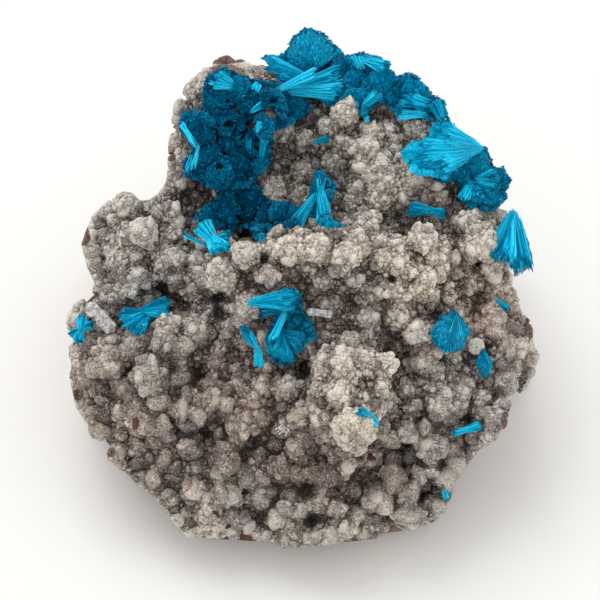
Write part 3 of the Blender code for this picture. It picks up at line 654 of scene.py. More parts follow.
@dataclass(frozen=True)
class ZeoliteFinish:
    """Drusy zeolite, grown as balls of tiny crystals: matte taupe, painted paler on top and dark brown in the
    gaps as painted shade.

    The crystals are a few tenths of a millimetre, so they show as a salt-and-pepper sparkle; its brightest
    specks are painted glints on the higher places.
    """

    # From the darkest gaps to the palest tops; the dark end is painted shade.
    shades: tuple[tuple[float, Hex], ...] = (
        (0.06, "2a231f"), (0.30, "6d625b"), (0.58, "9f958c"), (0.88, "d6cfc4"),
    )
    pink: tuple[float, float, float, float] = (1.02, 0.86, 0.80, 1.0)
    cream: tuple[float, float, float, float] = (1.42, 1.36, 1.26, 1.0)
    # A duller tint, and painted shade where it lies on the caves and the under-edge.
    dull: tuple[float, float, float, float] = (0.72, 0.70, 0.68, 1.0)
    olive: tuple[float, float, float, float] = (0.86, 0.90, 0.62, 1.0)
    bare: tuple[tuple[float, Hex], ...] = ((0.36, "3a2620"), (0.52, "6a4a3f"), (0.66, "8d7767"))
    # Near-white painted glints on the higher places.
    painted_sparkle: Hex = "f6f3ec"
    druse_size: float = 0.40
    speck_size: float = 0.34
    cloud_size: float = 8.0
    roughness: float = 0.6

    def make(self) -> bpy.types.Material:
        """Builds the material, which reads the attributes rise, tone, cream, pink, dull, olive and bare; rise
        carries painted shade, and dull partly does.
        """
        material, tree, shader, where = start_material("drusy zeolite crust")
        rise_shade, tone, cream, pink, dull, olive, bare = [
            add_node(tree, "ShaderNodeAttribute", attribute_name=name).outputs["Fac"]
            for name in ("rise_shade", "tone", *TINTS)]
        druse = add_node(tree, "ShaderNodeTexNoise", {"Vector": where},
                         {"Scale": 1.0 / (self.druse_size * MM), "Detail": 2.0, "Roughness": 0.6})
        cloud = add_node(tree, "ShaderNodeTexNoise", {"Vector": where},
                         {"Scale": 1.0 / (self.cloud_size * MM), "Detail": 3.0})
        grainy = add_node(tree, "ShaderNodeMapRange", {"Value": druse.outputs["Fac"]},
                          {"From Min": 0.3, "From Max": 0.7, "To Min": -0.24, "To Max": 0.30})
        cloudy = add_node(tree, "ShaderNodeMapRange", {"Value": cloud.outputs["Fac"]},
                          {"From Min": 0.3, "From Max": 0.7, "To Min": -0.10, "To Max": 0.10})
        # Painted shade: rise darkens the gaps and the balls' feet and lightens their tops.
        toned = add_node(tree, "ShaderNodeMath", {0: tone, 2: rise_shade}, {1: 0.30}, operation="MULTIPLY_ADD")
        rough = add_node(tree, "ShaderNodeMath", {0: toned.outputs[0], 1: grainy.outputs[0]},
                         operation="ADD")
        level = add_node(tree, "ShaderNodeMath", {0: rough.outputs[0], 1: cloudy.outputs[0]},
                         operation="ADD")
        # The ramp turns the level into colour, so its dark end is painted shade in the gaps.
        ramp = add_node(tree, "ShaderNodeValToRGB", {"Fac": level.outputs[0]})
        set_stops(ramp, self.shades)
        colour = ramp.outputs["Color"]
        # The tints; dull among them partly is painted shade.
        for amount, tint in ((pink, self.pink), (dull, self.dull), (cream, self.cream), (olive, self.olive)):
            tinted = add_node(tree, "ShaderNodeMix", {0: amount, 6: colour}, {7: tint}, data_type="RGBA",
                              blend_type="MULTIPLY")
            colour = tinted.outputs[2]
        # Painted sparkle: pale specks mixed into the colour on the higher places, as painted glints.
        specks = add_node(tree, "ShaderNodeTexNoise", {"Vector": where},
                          {"Scale": 1.0 / (self.speck_size * MM), "Detail": 1.0})
        painted_sparkle = add_node(tree, "ShaderNodeMapRange", {"Value": specks.outputs["Fac"]},
                         {"From Min": 0.59, "From Max": 0.70, "To Min": 0.0, "To Max": 1.0})
        proud = add_node(tree, "ShaderNodeMath", {0: painted_sparkle.outputs[0], 1: level.outputs[0]},
                         operation="MULTIPLY", use_clamp=True)
        with_painted_sparkle = add_node(tree, "ShaderNodeMix", {0: proud.outputs[0], 6: colour},
                           {7: linear(self.painted_sparkle)}, data_type="RGBA")
        stained = add_node(tree, "ShaderNodeValToRGB", {"Fac": druse.outputs["Fac"]})
        set_stops(stained, self.bare)
        crisp = add_node(tree, "ShaderNodeMapRange", {"Value": bare},
                         {"From Min": 0.42, "From Max": 0.58, "To Min": 0.0, "To Max": 1.0})
        broken = add_node(tree, "ShaderNodeMix", {0: crisp.outputs[0], 6: with_painted_sparkle.outputs[2],
                                                  7: stained.outputs["Color"]}, data_type="RGBA")
        tree.links.new(broken.outputs[2], shader.inputs["Base Color"])
        shine = add_node(tree, "ShaderNodeMapRange", {"Value": specks.outputs["Fac"]},
                         {"From Min": 0.5, "From Max": 0.7, "To Min": self.roughness, "To Max": 0.3})
        tree.links.new(shine.outputs[0], shader.inputs["Roughness"])
        bump = add_node(tree, "ShaderNodeBump", {"Height": druse.outputs["Fac"]},
                        {"Strength": 1.0, "Distance": 0.30 * MM})
        tree.links.new(bump.outputs[0], shader.inputs["Normal"])
        return material


@dataclass(frozen=True)
class BasaltFinish:
    """Weathered amygdaloidal basalt, broken: dull red-brown to buff, with dark pores and pale filled ones."""

    stains: tuple[tuple[float, Hex], ...] = ((0.34, "432a22"), (0.52, "6f4d40"), (0.68, "94806d"))
    film: Hex = "8b8c72"
    filling: Hex = "c9c2b4"
    roughness: float = 0.85

    def make(self) -> bpy.types.Material:
        """Builds the material."""
        material, tree, shader, where = start_material("weathered basalt")
        stain = add_node(tree, "ShaderNodeTexNoise", {"Vector": where},
                         {"Scale": 1.0 / (14.0 * MM), "Detail": 5.0, "Roughness": 0.6})
        ramp = add_node(tree, "ShaderNodeValToRGB", {"Fac": stain.outputs["Fac"]})
        set_stops(ramp, self.stains)
        grain = add_node(tree, "ShaderNodeTexNoise", {"Vector": where},
                         {"Scale": 1.0 / (0.7 * MM), "Detail": 4.0, "Roughness": 0.7})
        speckle = add_node(tree, "ShaderNodeMapRange", {"Value": grain.outputs["Fac"]},
                           {"From Min": 0.3, "From Max": 0.7, "To Min": 0.72, "To Max": 1.25})
        spotted = add_node(tree, "ShaderNodeMix", {6: ramp.outputs["Color"], 7: speckle.outputs[0]},
                           {0: 1.0}, data_type="RGBA", blend_type="MULTIPLY")
        pores = add_node(tree, "ShaderNodeTexVoronoi", {"Vector": where}, {"Scale": 1.0 / (4.2 * MM)})
        sizes = add_node(tree, "ShaderNodeMapRange", {"Value": pores.outputs["Color"]},
                         {"From Min": 0.60, "From Max": 1.0, "To Min": 2.6, "To Max": 0.8})
        ragged = add_node(tree, "ShaderNodeMath", {0: pores.outputs["Distance"], 1: sizes.outputs[0]},
                          operation="MULTIPLY")
        worn = add_node(tree, "ShaderNodeMath", {0: grain.outputs["Fac"], 2: ragged.outputs[0]}, {1: 0.3},
                        operation="MULTIPLY_ADD")
        filled = add_node(tree, "ShaderNodeMapRange", {"Value": worn.outputs[0]},
                          {"From Min": 0.33, "From Max": 0.38, "To Min": 1.0, "To Max": 0.0})
        pick = add_node(tree, "ShaderNodeMath", {0: pores.outputs["Color"]}, {1: 0.62},
                        operation="GREATER_THAN")
        few = add_node(tree, "ShaderNodeMath", {0: filled.outputs[0], 1: pick.outputs[0]},
                       operation="MULTIPLY")
        wash = add_node(tree, "ShaderNodeMapRange", {"Value": stain.outputs["Fac"]},
                        {"From Min": 0.58, "From Max": 0.72, "To Min": 0.0, "To Max": 0.6})
        washed = add_node(tree, "ShaderNodeMix", {0: wash.outputs[0], 6: spotted.outputs[2]},
                          {7: linear(self.film)}, data_type="RGBA")
        final = add_node(tree, "ShaderNodeMix", {0: few.outputs[0], 6: washed.outputs[2]},
                         {7: linear(self.filling)}, data_type="RGBA")
        tree.links.new(final.outputs[2], shader.inputs["Base Color"])
        shader.inputs["Roughness"].default_value = self.roughness
        bump = add_node(tree, "ShaderNodeBump", {"Height": grain.outputs["Fac"]},
                        {"Strength": 0.8, "Distance": 0.5 * MM})
        tree.links.new(bump.outputs[0], shader.inputs["Normal"])
        return material


@dataclass(frozen=True)
class CavansiteFinish:
    """Cavansite in fine blades: vitreous to silky, cyan along the blades and deep blue at their tips; the
    palest cyan is painted sheen and glints.
    """

    # The pale end carries painted sheen and glints, the dark end partly painted shade.
    shades: tuple[tuple[float, Hex], ...] = (
        (0.0, "02324a"), (0.22, "03658d"), (0.42, "0391b8"), (0.62, "04b4d8"), (0.82, "0cd4f8"),
        (1.0, "3ce0ff"),
    )
    fleck_size: float = 0.4
    roughness: float = 0.36

    def make(self) -> bpy.types.Material:
        """Builds the material, which reads the attribute glow: the blue's own level together with painted
        sheen, glints and shade.
        """
        material, tree, shader, where = start_material("silky cavansite")
        blue_and_shading = add_node(tree, "ShaderNodeAttribute", attribute_name="blue_and_shading").outputs["Fac"]
        fleck = add_node(tree, "ShaderNodeTexNoise", {"Vector": where},
                         {"Scale": 1.0 / (self.fleck_size * MM), "Detail": 2.0})
        uneven = add_node(tree, "ShaderNodeMapRange", {"Value": fleck.outputs["Fac"]},
                          {"From Min": 0.3, "From Max": 0.7, "To Min": -0.11, "To Max": 0.11})
        level = add_node(tree, "ShaderNodeMath", {0: blue_and_shading, 1: uneven.outputs[0]}, operation="ADD")
        ramp = add_node(tree, "ShaderNodeValToRGB", {"Fac": level.outputs[0]})
        set_stops(ramp, self.shades)
        tree.links.new(ramp.outputs["Color"], shader.inputs["Base Color"])
        shader.inputs["Roughness"].default_value = self.roughness
        shader.inputs["Specular IOR Level"].default_value = 0.13
        return material


@dataclass(frozen=True)
class StilbiteFinish:
    """Stilbite: colourless and glassy, see-through, with a faintly milky body."""

    colour: Hex = "fbfbf8"
    roughness: float = 0.2
    ior: float = 1.5
    clear: float = 0.35
    line_size: float = 0.7

    def make(self) -> bpy.types.Material:
        """Builds the material."""
        material, tree, shader, where = start_material("clear stilbite")
        lines = add_node(tree, "ShaderNodeTexNoise", {"Vector": where},
                         {"Scale": 1.0 / (self.line_size * MM), "Detail": 3.0})
        bump = add_node(tree, "ShaderNodeBump", {"Height": lines.outputs["Fac"]},
                        {"Strength": 1.0, "Distance": 0.6 * MM})
        tree.links.new(bump.outputs[0], shader.inputs["Normal"])
        milk = add_node(tree, "ShaderNodeMapRange", {"Value": lines.outputs["Fac"]},
                        {"From Min": 0.42, "From Max": 0.58, "To Min": 0.5, "To Max": 1.0})
        body = add_node(tree, "ShaderNodeMix", {7: milk.outputs[0]}, {0: 1.0, 6: linear(self.colour)},
                        data_type="RGBA", blend_type="MULTIPLY")
        tree.links.new(body.outputs[2], shader.inputs["Base Color"])
        shader.inputs["Roughness"].default_value = self.roughness
        shader.inputs["IOR"].default_value = self.ior
        shader.inputs["Transmission Weight"].default_value = self.clear
        return material


@dataclass(frozen=True)
class WhiteNeedleFinish:
    """Silky white zeolite needles: matte white with a soft sheen."""

    colour: Hex = "efece5"
    roughness: float = 0.45

    def make(self) -> bpy.types.Material:
        """Builds the material."""
        material, tree, shader, where = start_material("white zeolite needles")
        fleck = add_node(tree, "ShaderNodeTexNoise", {"Vector": where},
                         {"Scale": 1.0 / (0.6 * MM), "Detail": 2.0})
        shade = add_node(tree, "ShaderNodeMapRange", {"Value": fleck.outputs["Fac"]},
                         {"From Min": 0.3, "From Max": 0.7, "To Min": 0.75, "To Max": 1.05})
        tinted = add_node(tree, "ShaderNodeMix", {7: shade.outputs[0]}, {0: 1.0, 6: linear(self.colour)},
                          data_type="RGBA", blend_type="MULTIPLY")
        tree.links.new(tinted.outputs[2], shader.inputs["Base Color"])
        shader.inputs["Roughness"].default_value = self.roughness
        return material


def hand_in(piece: bpy.types.Object, material: bpy.types.Material, slot: str, *nodes: str) -> None:
    """Dresses a finished piece and ties it to the frame.

    Args:
        piece: The piece.
        material: Its finish.
        slot: The record's material slot that it stands for; not used.
        nodes: The nodes that it stands for.
    """
    piece.data.materials.clear()
    piece.data.materials.append(material)
    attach(piece, BODY)
    if nodes:
        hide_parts(*nodes)
    LOG.info("%s: %d triangles", piece.name, len(triangles_of(piece.data)))


@dataclass(frozen=True)
class Globe:
    """One ball of the crust that the photograph shows by itself.

    Attributes:
        across: Millimetres across.
        up: Millimetres up.
        radius: Its radius, in millimetres.
        stands: How far its middle stands out of the crust, in millimetres.
    """

    across: float
    up: float
    radius: float
    stands: float = 0.0


@dataclass(frozen=True)
class PaintedPopcornShade:
    """How pale a popcorn ball is painted from its foot to its top, as levels from 0 to 1: painted shade,
    darker at the foot and paler on top.

    Attributes:
        steep: How much paler the top is painted than the foot, as painted shade.
        flatter: How much less so on the smooth patches.
        uneven: Smallest and largest share of that, by chance.
        rise_shade: How much paler a ball is that stands out of its surroundings, as painted shade.
        foot: The level at its foot in a gap, dark as painted shade.
        lumps: How much paler its lumps are, for a radius more, as painted light on what stands out.
        smooth: How much paler the smooth patches are.
    """

    steep: float = 0.55
    flatter: float = 0.18
    uneven: tuple[float, float] = (0.6, 1.2)
    rise_shade: float = 0.50
    foot: float = -0.33
    lumps: float = 0.8
    smooth: float = 0.06

    def levels(self, height: np.ndarray, lumps: np.ndarray, rise_shade: np.ndarray, smooth: np.ndarray,
               rng: np.random.Generator) -> np.ndarray:
        """The level of each vertex of each ball.

        Args:
            height: Where the vertex is, from 0 at the foot to 1 at the top, one row a ball.
            lumps: Its distance from the ball's middle, in radii.
            rise_shade: How far each ball stands out of its surroundings.
            smooth: How much each ball is on a smooth patch.
            rng: The source of chance.

        Returns:
            The levels, one row a ball.
        """
        steep = (self.steep - self.flatter * smooth) * rng.uniform(*self.uneven, len(smooth))
        levels = steep[:, None] * height + self.rise_shade * rise_shade[:, None] + self.foot + self.lumps * (lumps - 1.0)
        return np.clip(levels + self.smooth * smooth[:, None], 0.0, 1.0)


@dataclass
class ZeoliteCrust:
    """The crust: a body swollen into globes, all covered with popcorn balls of druse.

    Attributes:
        outlines: Outlines on the display side that are kept free for blue masses.
        silhouette: The outline of the whole specimen.
        rim: Width along the silhouette over which the body is drawn in less and less, in millimetres.
        inset: How far the body is drawn in before the globes bring it out again, in millimetres.
        shell_voxel: Size of the body's faces before the globes are set on it, in millimetres.
        shell_rounds: How often the body is smoothed before that.
        voxel: Size of the body's faces afterwards.
        ripple: Width and height of the fine ripple on the body, in millimetres.
        body_rise: Share of how far the body stands out that its paint shows, as painted shade.
        body_tone: The body's own tone, from 0 to 1.
        rock_reach: How near the basalt a face against it lies, in millimetres.
        mass_depth: How far out from the frame's middle a blue mass starts to clear the crust.
        globe_tries: How many globes are tried by chance.
        globe_radius: Smallest and largest globe.
        globe_power: How much commoner small ones are than large ones.
        globe_spacing: Room that a globe keeps free, as a share of its radius.
        globe_sunk: How deep it is set, as a share of its radius.
        globe_clear: Room to the sprays, and to the silhouette, in its radius.
        globe_caves: Room to the caves, in theirs.
        cave: Depth of a cave in millimetres, and how steep it is.
        rise_rounds: How far the surroundings reach that the painted shade's height is measured from, in
            rounds of smoothing.
        rise_level: The painted shade's level on a flat place, and how much a millimetre of height adds.
        popcorn: Sizes of popcorn, the largest first, as (tries, smallest radius, largest radius).
        popcorn_swell: Width in millimetres of the areas of larger balls, and how much larger they are.
        popcorn_spacing: Room that a ball keeps free, as a share of its radius.
        popcorn_sunk: How deep a ball is set, in its radius, how much deeper on the smooth patches, and
            how uneven that is.
        popcorn_clear: Room to the sprays, in its radius.
        popcorn_caves: Room to the caves, in theirs.
        popcorn_bare: How bare a place may be that still has balls, from 0 to 1.
        popcorn_over: How far past the silhouette a ball may start, in millimetres.
        popcorn_rim: How near the silhouette a ball is drawn inside it, in its radius.
        stretch: Smallest and largest stretch of a ball, and how much more on the smooth patches.
        lobes: How much larger the balls are on the smooth patches, as a share.
        lumpy: Unevenness of a ball, as a share of its radius.
        shade: How pale the balls are painted from foot to top, as painted shade.
        seed: The start of the source of chance.
        globes: The globes that the photograph shows by themselves.
        caves: Dark gaps between globes, as (across, up, radius) in millimetres.
        patches: Where each stain lies, the dulling that partly is painted shade among them, and where the
            balls are large and smooth.
    """

    outlines: list[tuple[Place, ...]]
    silhouette: tuple[Place, ...]
    rim: float = 2.6
    inset: float = 1.65
    shell_voxel: float = 0.9
    shell_rounds: int = 5
    voxel: float = 0.62
    ripple: tuple[float, float] = (1.1, 0.14)
    body_rise: float = 0.55
    body_tone: float = 0.25
    rock_reach: float = 2.0
    mass_depth: float = -12.0
    globe_tries: int = 5000
    globe_radius: tuple[float, float] = (1.7, 3.3)
    globe_power: float = 1.6
    globe_spacing: float = 0.74
    globe_sunk: float = 0.40
    globe_clear: tuple[float, float] = (0.75, 0.85)
    globe_caves: float = 2.0
    cave: tuple[float, float] = (2.6, 1.2)
    rise_rounds: int = 60
    rise_level: tuple[float, float] = (0.42, 0.8)
    popcorn: tuple[tuple[int, float, float], ...] = (
        (2600, 0.95, 1.45), (14000, 0.62, 0.95), (26000, 0.42, 0.62), (30000, 0.30, 0.42),
    )
    popcorn_swell: tuple[float, float] = (6.0, 0.3)
    popcorn_spacing: float = 0.66
    popcorn_sunk: tuple[float, float, float] = (0.30, 0.15, 0.3)
    popcorn_clear: float = 0.4
    popcorn_caves: float = 0.9
    popcorn_bare: float = 0.4
    popcorn_over: float = 0.3
    popcorn_rim: float = 1.4
    stretch: tuple[float, float, float] = (-0.26, 0.17, 0.5)
    lobes: float = 0.9
    lumpy: float = 0.12
    shade: PaintedPopcornShade = PaintedPopcornShade()
    seed: int = 11
    globes: list[Globe] = field(default_factory=lambda: [Globe(*row) for row in (
        (8.6, 35.4, 2.6, 1.6), (13.5, 31.9, 1.7, 0.6), (21.9, 32.3, 2.5, 0.2), (16.7, 32.3, 1.5, 0.3),
        (34.2, 11, 3.3, 0.4), (33.3, 16.7, 1.6, 0.4), (-5.3, 20.7, 3.2, 0.2), (-3.4, 11.8, 2.7, 0.6),
        (-9.9, 9.1, 2.8, 0.6), (-5.9, 9.1, 2.2, 0.6), (2.5, 13.3, 2.2, 0.3), (-1.1, -43.8, 3, -0.8),
        (3.8, -43.6, 1.7, -0.4), (13.3, -41.6, 3.8, -1), (19.8, -40, 2.4, -0.4), (-28.6, -14.3, 3.2, 0.3),
        (-20, -6, 3, 0.2), (-36, -12, 3, 0), (-33, 18.4, 2.2), (-36, 16.6, 2.1), (-38.1, 13.6, 2),
        (-39.4, 10.6, 2.1), (-38.9, 7.4, 1.9), (-37.6, 4.4, 1.8), (-41.7, -2, 1.8), (-42.6, -4.2, 1.8),
        (10.3, -24.4, 3.7, -0.4), (25, -28, 2.6, 0.2), (21.1, -30.3, 1.3, 0.5), (22.1, -33.3, 1.8, 0.3),
        (24.8, -32.6, 1.2, 0.5), (17.5, -30.2, 2.4, 0.2), (17.8, -33.8, 1.9, 0.2), (21.2, -36.4, 1.9, 0.3),
        (20.1, -40.1, 1.9, 0.1), (25, -39.1, 2, 0), (28.7, -30.4, 2.8, -0.6), (21.3, -20.6, 1.6, 0.6),
        (19.8, -24.5, 1.9, 0.6), (24.3, -24.1, 1.2, 0.4), (-32.9, -11.5, 1.8, 0.5),
        (-22.2, -14.6, 2.4, 0.2), (-21.4, -27.8, 2, 0.4), (-25.2, -30.6, 2.4, -0.3),
        (-20.4, -17.9, 1.3, 0.6), (-19.9, -36, 2.2, 0.2), (6.9, -39.5, 1.7, 0.5), (-11, -32.3, 1.7, 0.2),
        (-4, -31.8, 2, 0.2), (-0.6, -32.9, 1.7, 0.3), (-13, -40.8, 2.2, 0), (-7.5, -37.1, 2.4, 0),
        (-2.1, -39.2, 2, 0.1), (-19.2, -42.6, 1.8), (-16, -43.4, 1.7), (-12.8, -43.8, 1.6),
        (-7.4, -44.3, 1.6), (-5, -44.7, 1.6), (-34.9, -29.4, 1.8), (-38.4, -24.8, 1.8), (8.6, -44, 1.8),
        (37, -22.8, 2.2, 2.4), (38.2, -20.6, 1.6, 1.6), (35.8, -25.4, 1.8, 1.2), (43.2, -13.4, 1.7),
        (41.8, -15.8, 1.7), (43.8, -11, 1.6), (26.1, 34, 1.5, 1), (38.3, 14.8, 1.9, 1.6),
        (5.8, -44.7, 1.9), (2.6, -45.2, 1.6), (10.8, -44.4, 1.7), (-21.4, -43.4, 1.6), (-33.4, -31, 1.6),
        (-42.4, -10.2, 1.6), (-38.2, 1.8, 1.3), (-22.7, 36.6, 1.4), (-23.2, 34.2, 1.3), (-20.6, 39.8, 1.5),
        (26.4, -39.4, 1.5),
    )])
    caves: list[tuple[float, float, float]] = field(default_factory=lambda: [
        (25.7, -22.6, 2.1), (31.4, -22.4, 1.2), (23.8, -36.9, 1.6), (1.3, -36.3, 1.8), (-7.2, -41.6, 1.8),
        (2.1, -42, 1.4), (-18.1, -25.1, 1.6), (-15.4, 0.4, 1.6), (-15, -2.6, 1.6), (-20, -14.3, 1.8),
        (20.4, -33.8, 1), (0.8, -13, 1.4), (-7, 8, 1.2), (17.6, 4, 1), (29.6, 12.4, 1), (29.2, 9.4, 1.2),
        (-26, 2.4, 1.4), (33.8, 6.8, 0.8), (25.6, -3, 1.2), (26.8, -11.2, 1), (-10.6, 11.9, 1.6),
        (-8.4, 11.5, 1.2),
    ])
    patches: dict[str, list[Patch]] = field(default_factory=lambda: {
        name: [Patch(*row) for row in rows] for name, rows in {
            "cream": (
                (9.5, -18, 8.5, 11, 0.55), (10.5, -24, 4, 4, 0.35), (22, 31, 8, 3.5, 0.5),
                (8.6, 35, 4, 3.5, 0.5), (4, 10, 16, 4.5, 0.5), (28, 3, 12, 10, 1), (20, -10, 7, 7, 0.3),
                (-8, 44, 5, 3, 0.7), (13, -42, 5, 4, 0.4), (14, 22, 6, 5, 0.25), (-1, -44.5, 3.5, 3, 0.3),
                (10.3, -24.3, 3.4, 4, 0.2), (-20.5, -37, 2.6, 2.6, 0.5), (-34.4, -27.4, 1.2, 1.1, 0.9),
                (-17.6, -44, 2, 1.4, 0.9), (34, -4.6, 2.6, 2.6, 0.9), (9, -34, 1.8, 2.2, 0.5),
                (-30.9, -23.4, 2.4, 2.4, 0.5),
            ),
            "pink": (
                (-4, -26, 10, 8, 0.6), (-38, -16, 6, 9, 0.5), (-12, -14, 9, 9, 0.6), (8, -34, 12, 6, 0.5),
                (-6, 2, 9, 4, 0.5), (38, -4, 5, 10, 0.5), (24, 19, 6, 4, 0.5), (-26, -28, 14, 12, 0.4),
            ),
            # Duller places; those on the caves and along the bottom edge are painted shade.
            "dull": (
                (6, 24, 6, 8, 0.5), (22, 24, 5, 3, 0.7), (-12, -36, 20, 6, 0.35), (-4, -18, 6, 8, 0.4),
                (-12, 7, 4, 4, 0.5), (-27, -24, 17, 15, 0.8), (-4, -30, 15, 12, 0.7),
                (-10, 33, 4.5, 3.5, 1), (0, -45.6, 18, 2.2, 0.8), (29.4, -34, 2.4, 5, 0.6),
                (26.5, -23.5, 3, 3, 0.8), (2, -41.5, 3, 1.6, 0.8), (23, -33, 10, 10, 0.5),
            ),
            "olive": (
                (-39, -23.4, 2.4, 2.6, 0.5), (-20, -42.6, 2, 1.4, 0.5), (10.3, -24.3, 3.2, 4, 0.1),
            ),
            "bare": (
                (-14.6, 45.8, 4.8, 1.1), (-41, 12.2, 1.3, 2.1), (-39.6, 0.9, 1.6, 0.9), (44, -5, 1.6, 2.5),
                (39, -23, 0.9, 2), (-10.2, -45.8, 2.1, 0.7), (-35.9, -29, 1.2, 1), (-42.2, -18, 1.2, 1.2),
                (-24.5, 32.4, 1, 1.2), (-24.5, 27.2, 1, 1), (-20.4, -42.6, 1.2, 0.8),
            ),
            "smooth": (
                (-28, -20, 17, 15, 0.9), (-6, -33, 14, 11, 0.85), (10, -40, 14, 7, 0.85),
                (23, -32, 11, 11, 0.9), (41, -12, 5.5, 9, 0.9), (-40, 12, 4, 8, 0.5),
                (10.3, -24.3, 3.2, 3.8, 0.5),
            ),
        }.items()
    })

    def build(self, sprays: Skin) -> tuple[list[bpy.types.Object], Skin]:
        """Models the crust.

        Args:
            sprays: The solids of the blue sprays, which the crust leaves room for.

        Returns:
            The pieces of the body and of the popcorn, and the body's skin.
        """
        rng = np.random.default_rng(self.seed)
        body = merged_copy("zeolite_crust", "zeolite_crust_body")
        remesh(body, self.shell_voxel, self.shell_rounds)
        basalt = Skin.of_nodes(["basalt_matrix"])
        self.draw_in(body, basalt)
        self.swell(body, basalt, sprays, rng)
        mesh = body.data
        points, normals = points_of(mesh), normals_of(mesh)
        rise_shade = self.rise_shade(points, edges_of(mesh), normals)
        width, height = self.ripple
        points = points + normals * (smooth_noise(points, width * MM, 4.0) * height * MM)[:, None]
        set_points(mesh, points)
        # Painted shade on the body: darker in its gaps, paler on its globes.
        self.dress(mesh, points, rise_shade * self.body_rise, np.full(len(points), self.body_tone))
        skin = Skin.of_mesh(mesh)
        popcorn = self.popcorn_on(skin, normals_of(mesh), self.outer(mesh, basalt), rise_shade, sprays, rng)
        return [*self.parted(body), *popcorn], skin

    def outer(self, mesh: bpy.types.Mesh, basalt: Skin) -> np.ndarray:
        """Whether each vertex lies on the crust's outside, and not against the basalt."""
        points = points_of(mesh).tolist()
        near = [basalt.tree.find_nearest(point, self.rock_reach * MM)[0] for point in points]
        pairs = zip(near, points, normals_of(mesh).tolist())
        return np.array([rock is None or (rock - Vector(point)).dot(Vector(normal)) <= 0.0
                         for rock, point, normal in pairs])

    def draw_in(self, body: bpy.types.Object, basalt: Skin) -> None:
        """Moves the outside in by the inset, except under the blue masses."""
        points, normals = points_of(body.data), normals_of(body.data)
        moved = self.outer(body.data, basalt) & self.free(points, 0.0)
        share = np.clip(room_within(self.silhouette, VIEW.seen(points)) / self.rim, 0.0, 1.0)
        points -= normals * (moved * share * self.inset * MM)[:, None]
        set_points(body.data, drawn_inside(self.silhouette, points))

    def free(self, places: np.ndarray, caves: float) -> np.ndarray:
        """Whether each place lies clear of the blue masses and the caves.

        Args:
            places: Points in metres, one a row.
            caves: How far clear of the caves, as a share of their radius.

        Returns:
            One truth value a place.
        """
        seen = VIEW.seen(places)
        clear = np.ones(len(places), bool)
        for across, up, radius in self.caves:
            clear &= np.hypot(seen[:, 0] - across, seen[:, 1] - up) > radius * caves
        front = (places / MM - np.array(VIEW.middle)) @ np.array(VIEW.out) > self.mass_depth
        for outline in self.outlines:
            clear &= ~(inside(outline, seen) & front)
        return clear

    def fuse_balls(self, body: bpy.types.Object, centres: np.ndarray, radii: np.ndarray) -> None:
        """Grows balls of these radii in millimetres together with the body."""
        stamp = Stamp.ball(3)
        shaped = stamp.points[None, :, :] * (radii * MM)[:, None, None] + centres[:, None, :]
        balls = mesh_object("balls", *stamp.set_down(shaped))
        only(body, balls)
        bpy.ops.object.join()
        remesh(body, self.voxel, 1)

    def swell(self, body: bpy.types.Object, basalt: Skin, sprays: Skin, rng: np.random.Generator) -> None:
        """Sets the globes on the body, leaves room for the caves, and makes all one skin."""
        skin = Skin.of_mesh(body.data)
        places, outward, _ = skin.scatter(self.globe_tries, rng, normals_of(body.data),
                                          self.outer(body.data, basalt))
        low, high = self.globe_radius
        radii = low + (high - low) * rng.random(len(places)) ** self.globe_power
        shown = [skin.hit(globe.across, globe.up) for globe in self.globes]
        middles = [point + VIEW.out * (globe.stands * MM) for globe, (point, _) in zip(self.globes, shown)]
        own = np.array([globe.radius for globe in self.globes])
        kept = thin_out(np.concatenate([np.array(middles), places]),
                        np.concatenate([own, radii]) * self.globe_spacing * MM)
        kept = kept[kept >= len(own)] - len(own)
        to_sprays, to_rim = self.globe_clear
        kept = kept[sprays.far_from(places[kept], radii[kept] * to_sprays * MM)]
        kept = kept[self.free(places[kept], self.globe_caves)]
        kept = kept[room_within(self.silhouette, VIEW.seen(places[kept])) > radii[kept] * to_rim]
        centres = places - outward * (radii * self.globe_sunk * MM)[:, None]
        LOG.info("globes: %d", len(kept))
        self.fuse_balls(body, np.concatenate([np.array(middles), centres[kept]]),
                        np.concatenate([own, radii[kept]]))
        points = points_of(body.data)
        seen = VIEW.seen(points)
        facing = normals_of(body.data) @ np.array(VIEW.out) > 0.0
        depth, steep = self.cave
        for across, up, radius in self.caves:
            off = np.hypot(seen[:, 0] - across, seen[:, 1] - up) / radius
            push = depth * np.exp(-off ** 2 * steep) * facing
            points -= np.array(VIEW.out)[None, :] * (push * MM)[:, None]
        set_points(body.data, points)

    def rise_shade(self, points: np.ndarray, edges: np.ndarray, normals: np.ndarray) -> np.ndarray:
        """How far each vertex stands out of its surroundings, from 0 in a gap to 1 on a globe, which the
        paint shows as painted shade.
        """
        wide = evened_out(points, edges, self.rise_rounds)
        stands = ((points - wide) * normals).sum(axis=1) / MM
        flat, slope = self.rise_level
        return np.clip(flat + slope * stands, 0.0, 1.0)

    def dress(self, mesh: bpy.types.Mesh, points: np.ndarray, rise_shade: np.ndarray, tone: np.ndarray) -> None:
        """Gives a mesh's vertices what the material reads."""
        # Painted shade: rise darkens the gaps and lightens what stands out.
        set_attribute(mesh, "rise_shade", rise_shade)
        set_attribute(mesh, "tone", tone)
        for name in TINTS:
            set_attribute(mesh, name, painted(self.patches[name], points))

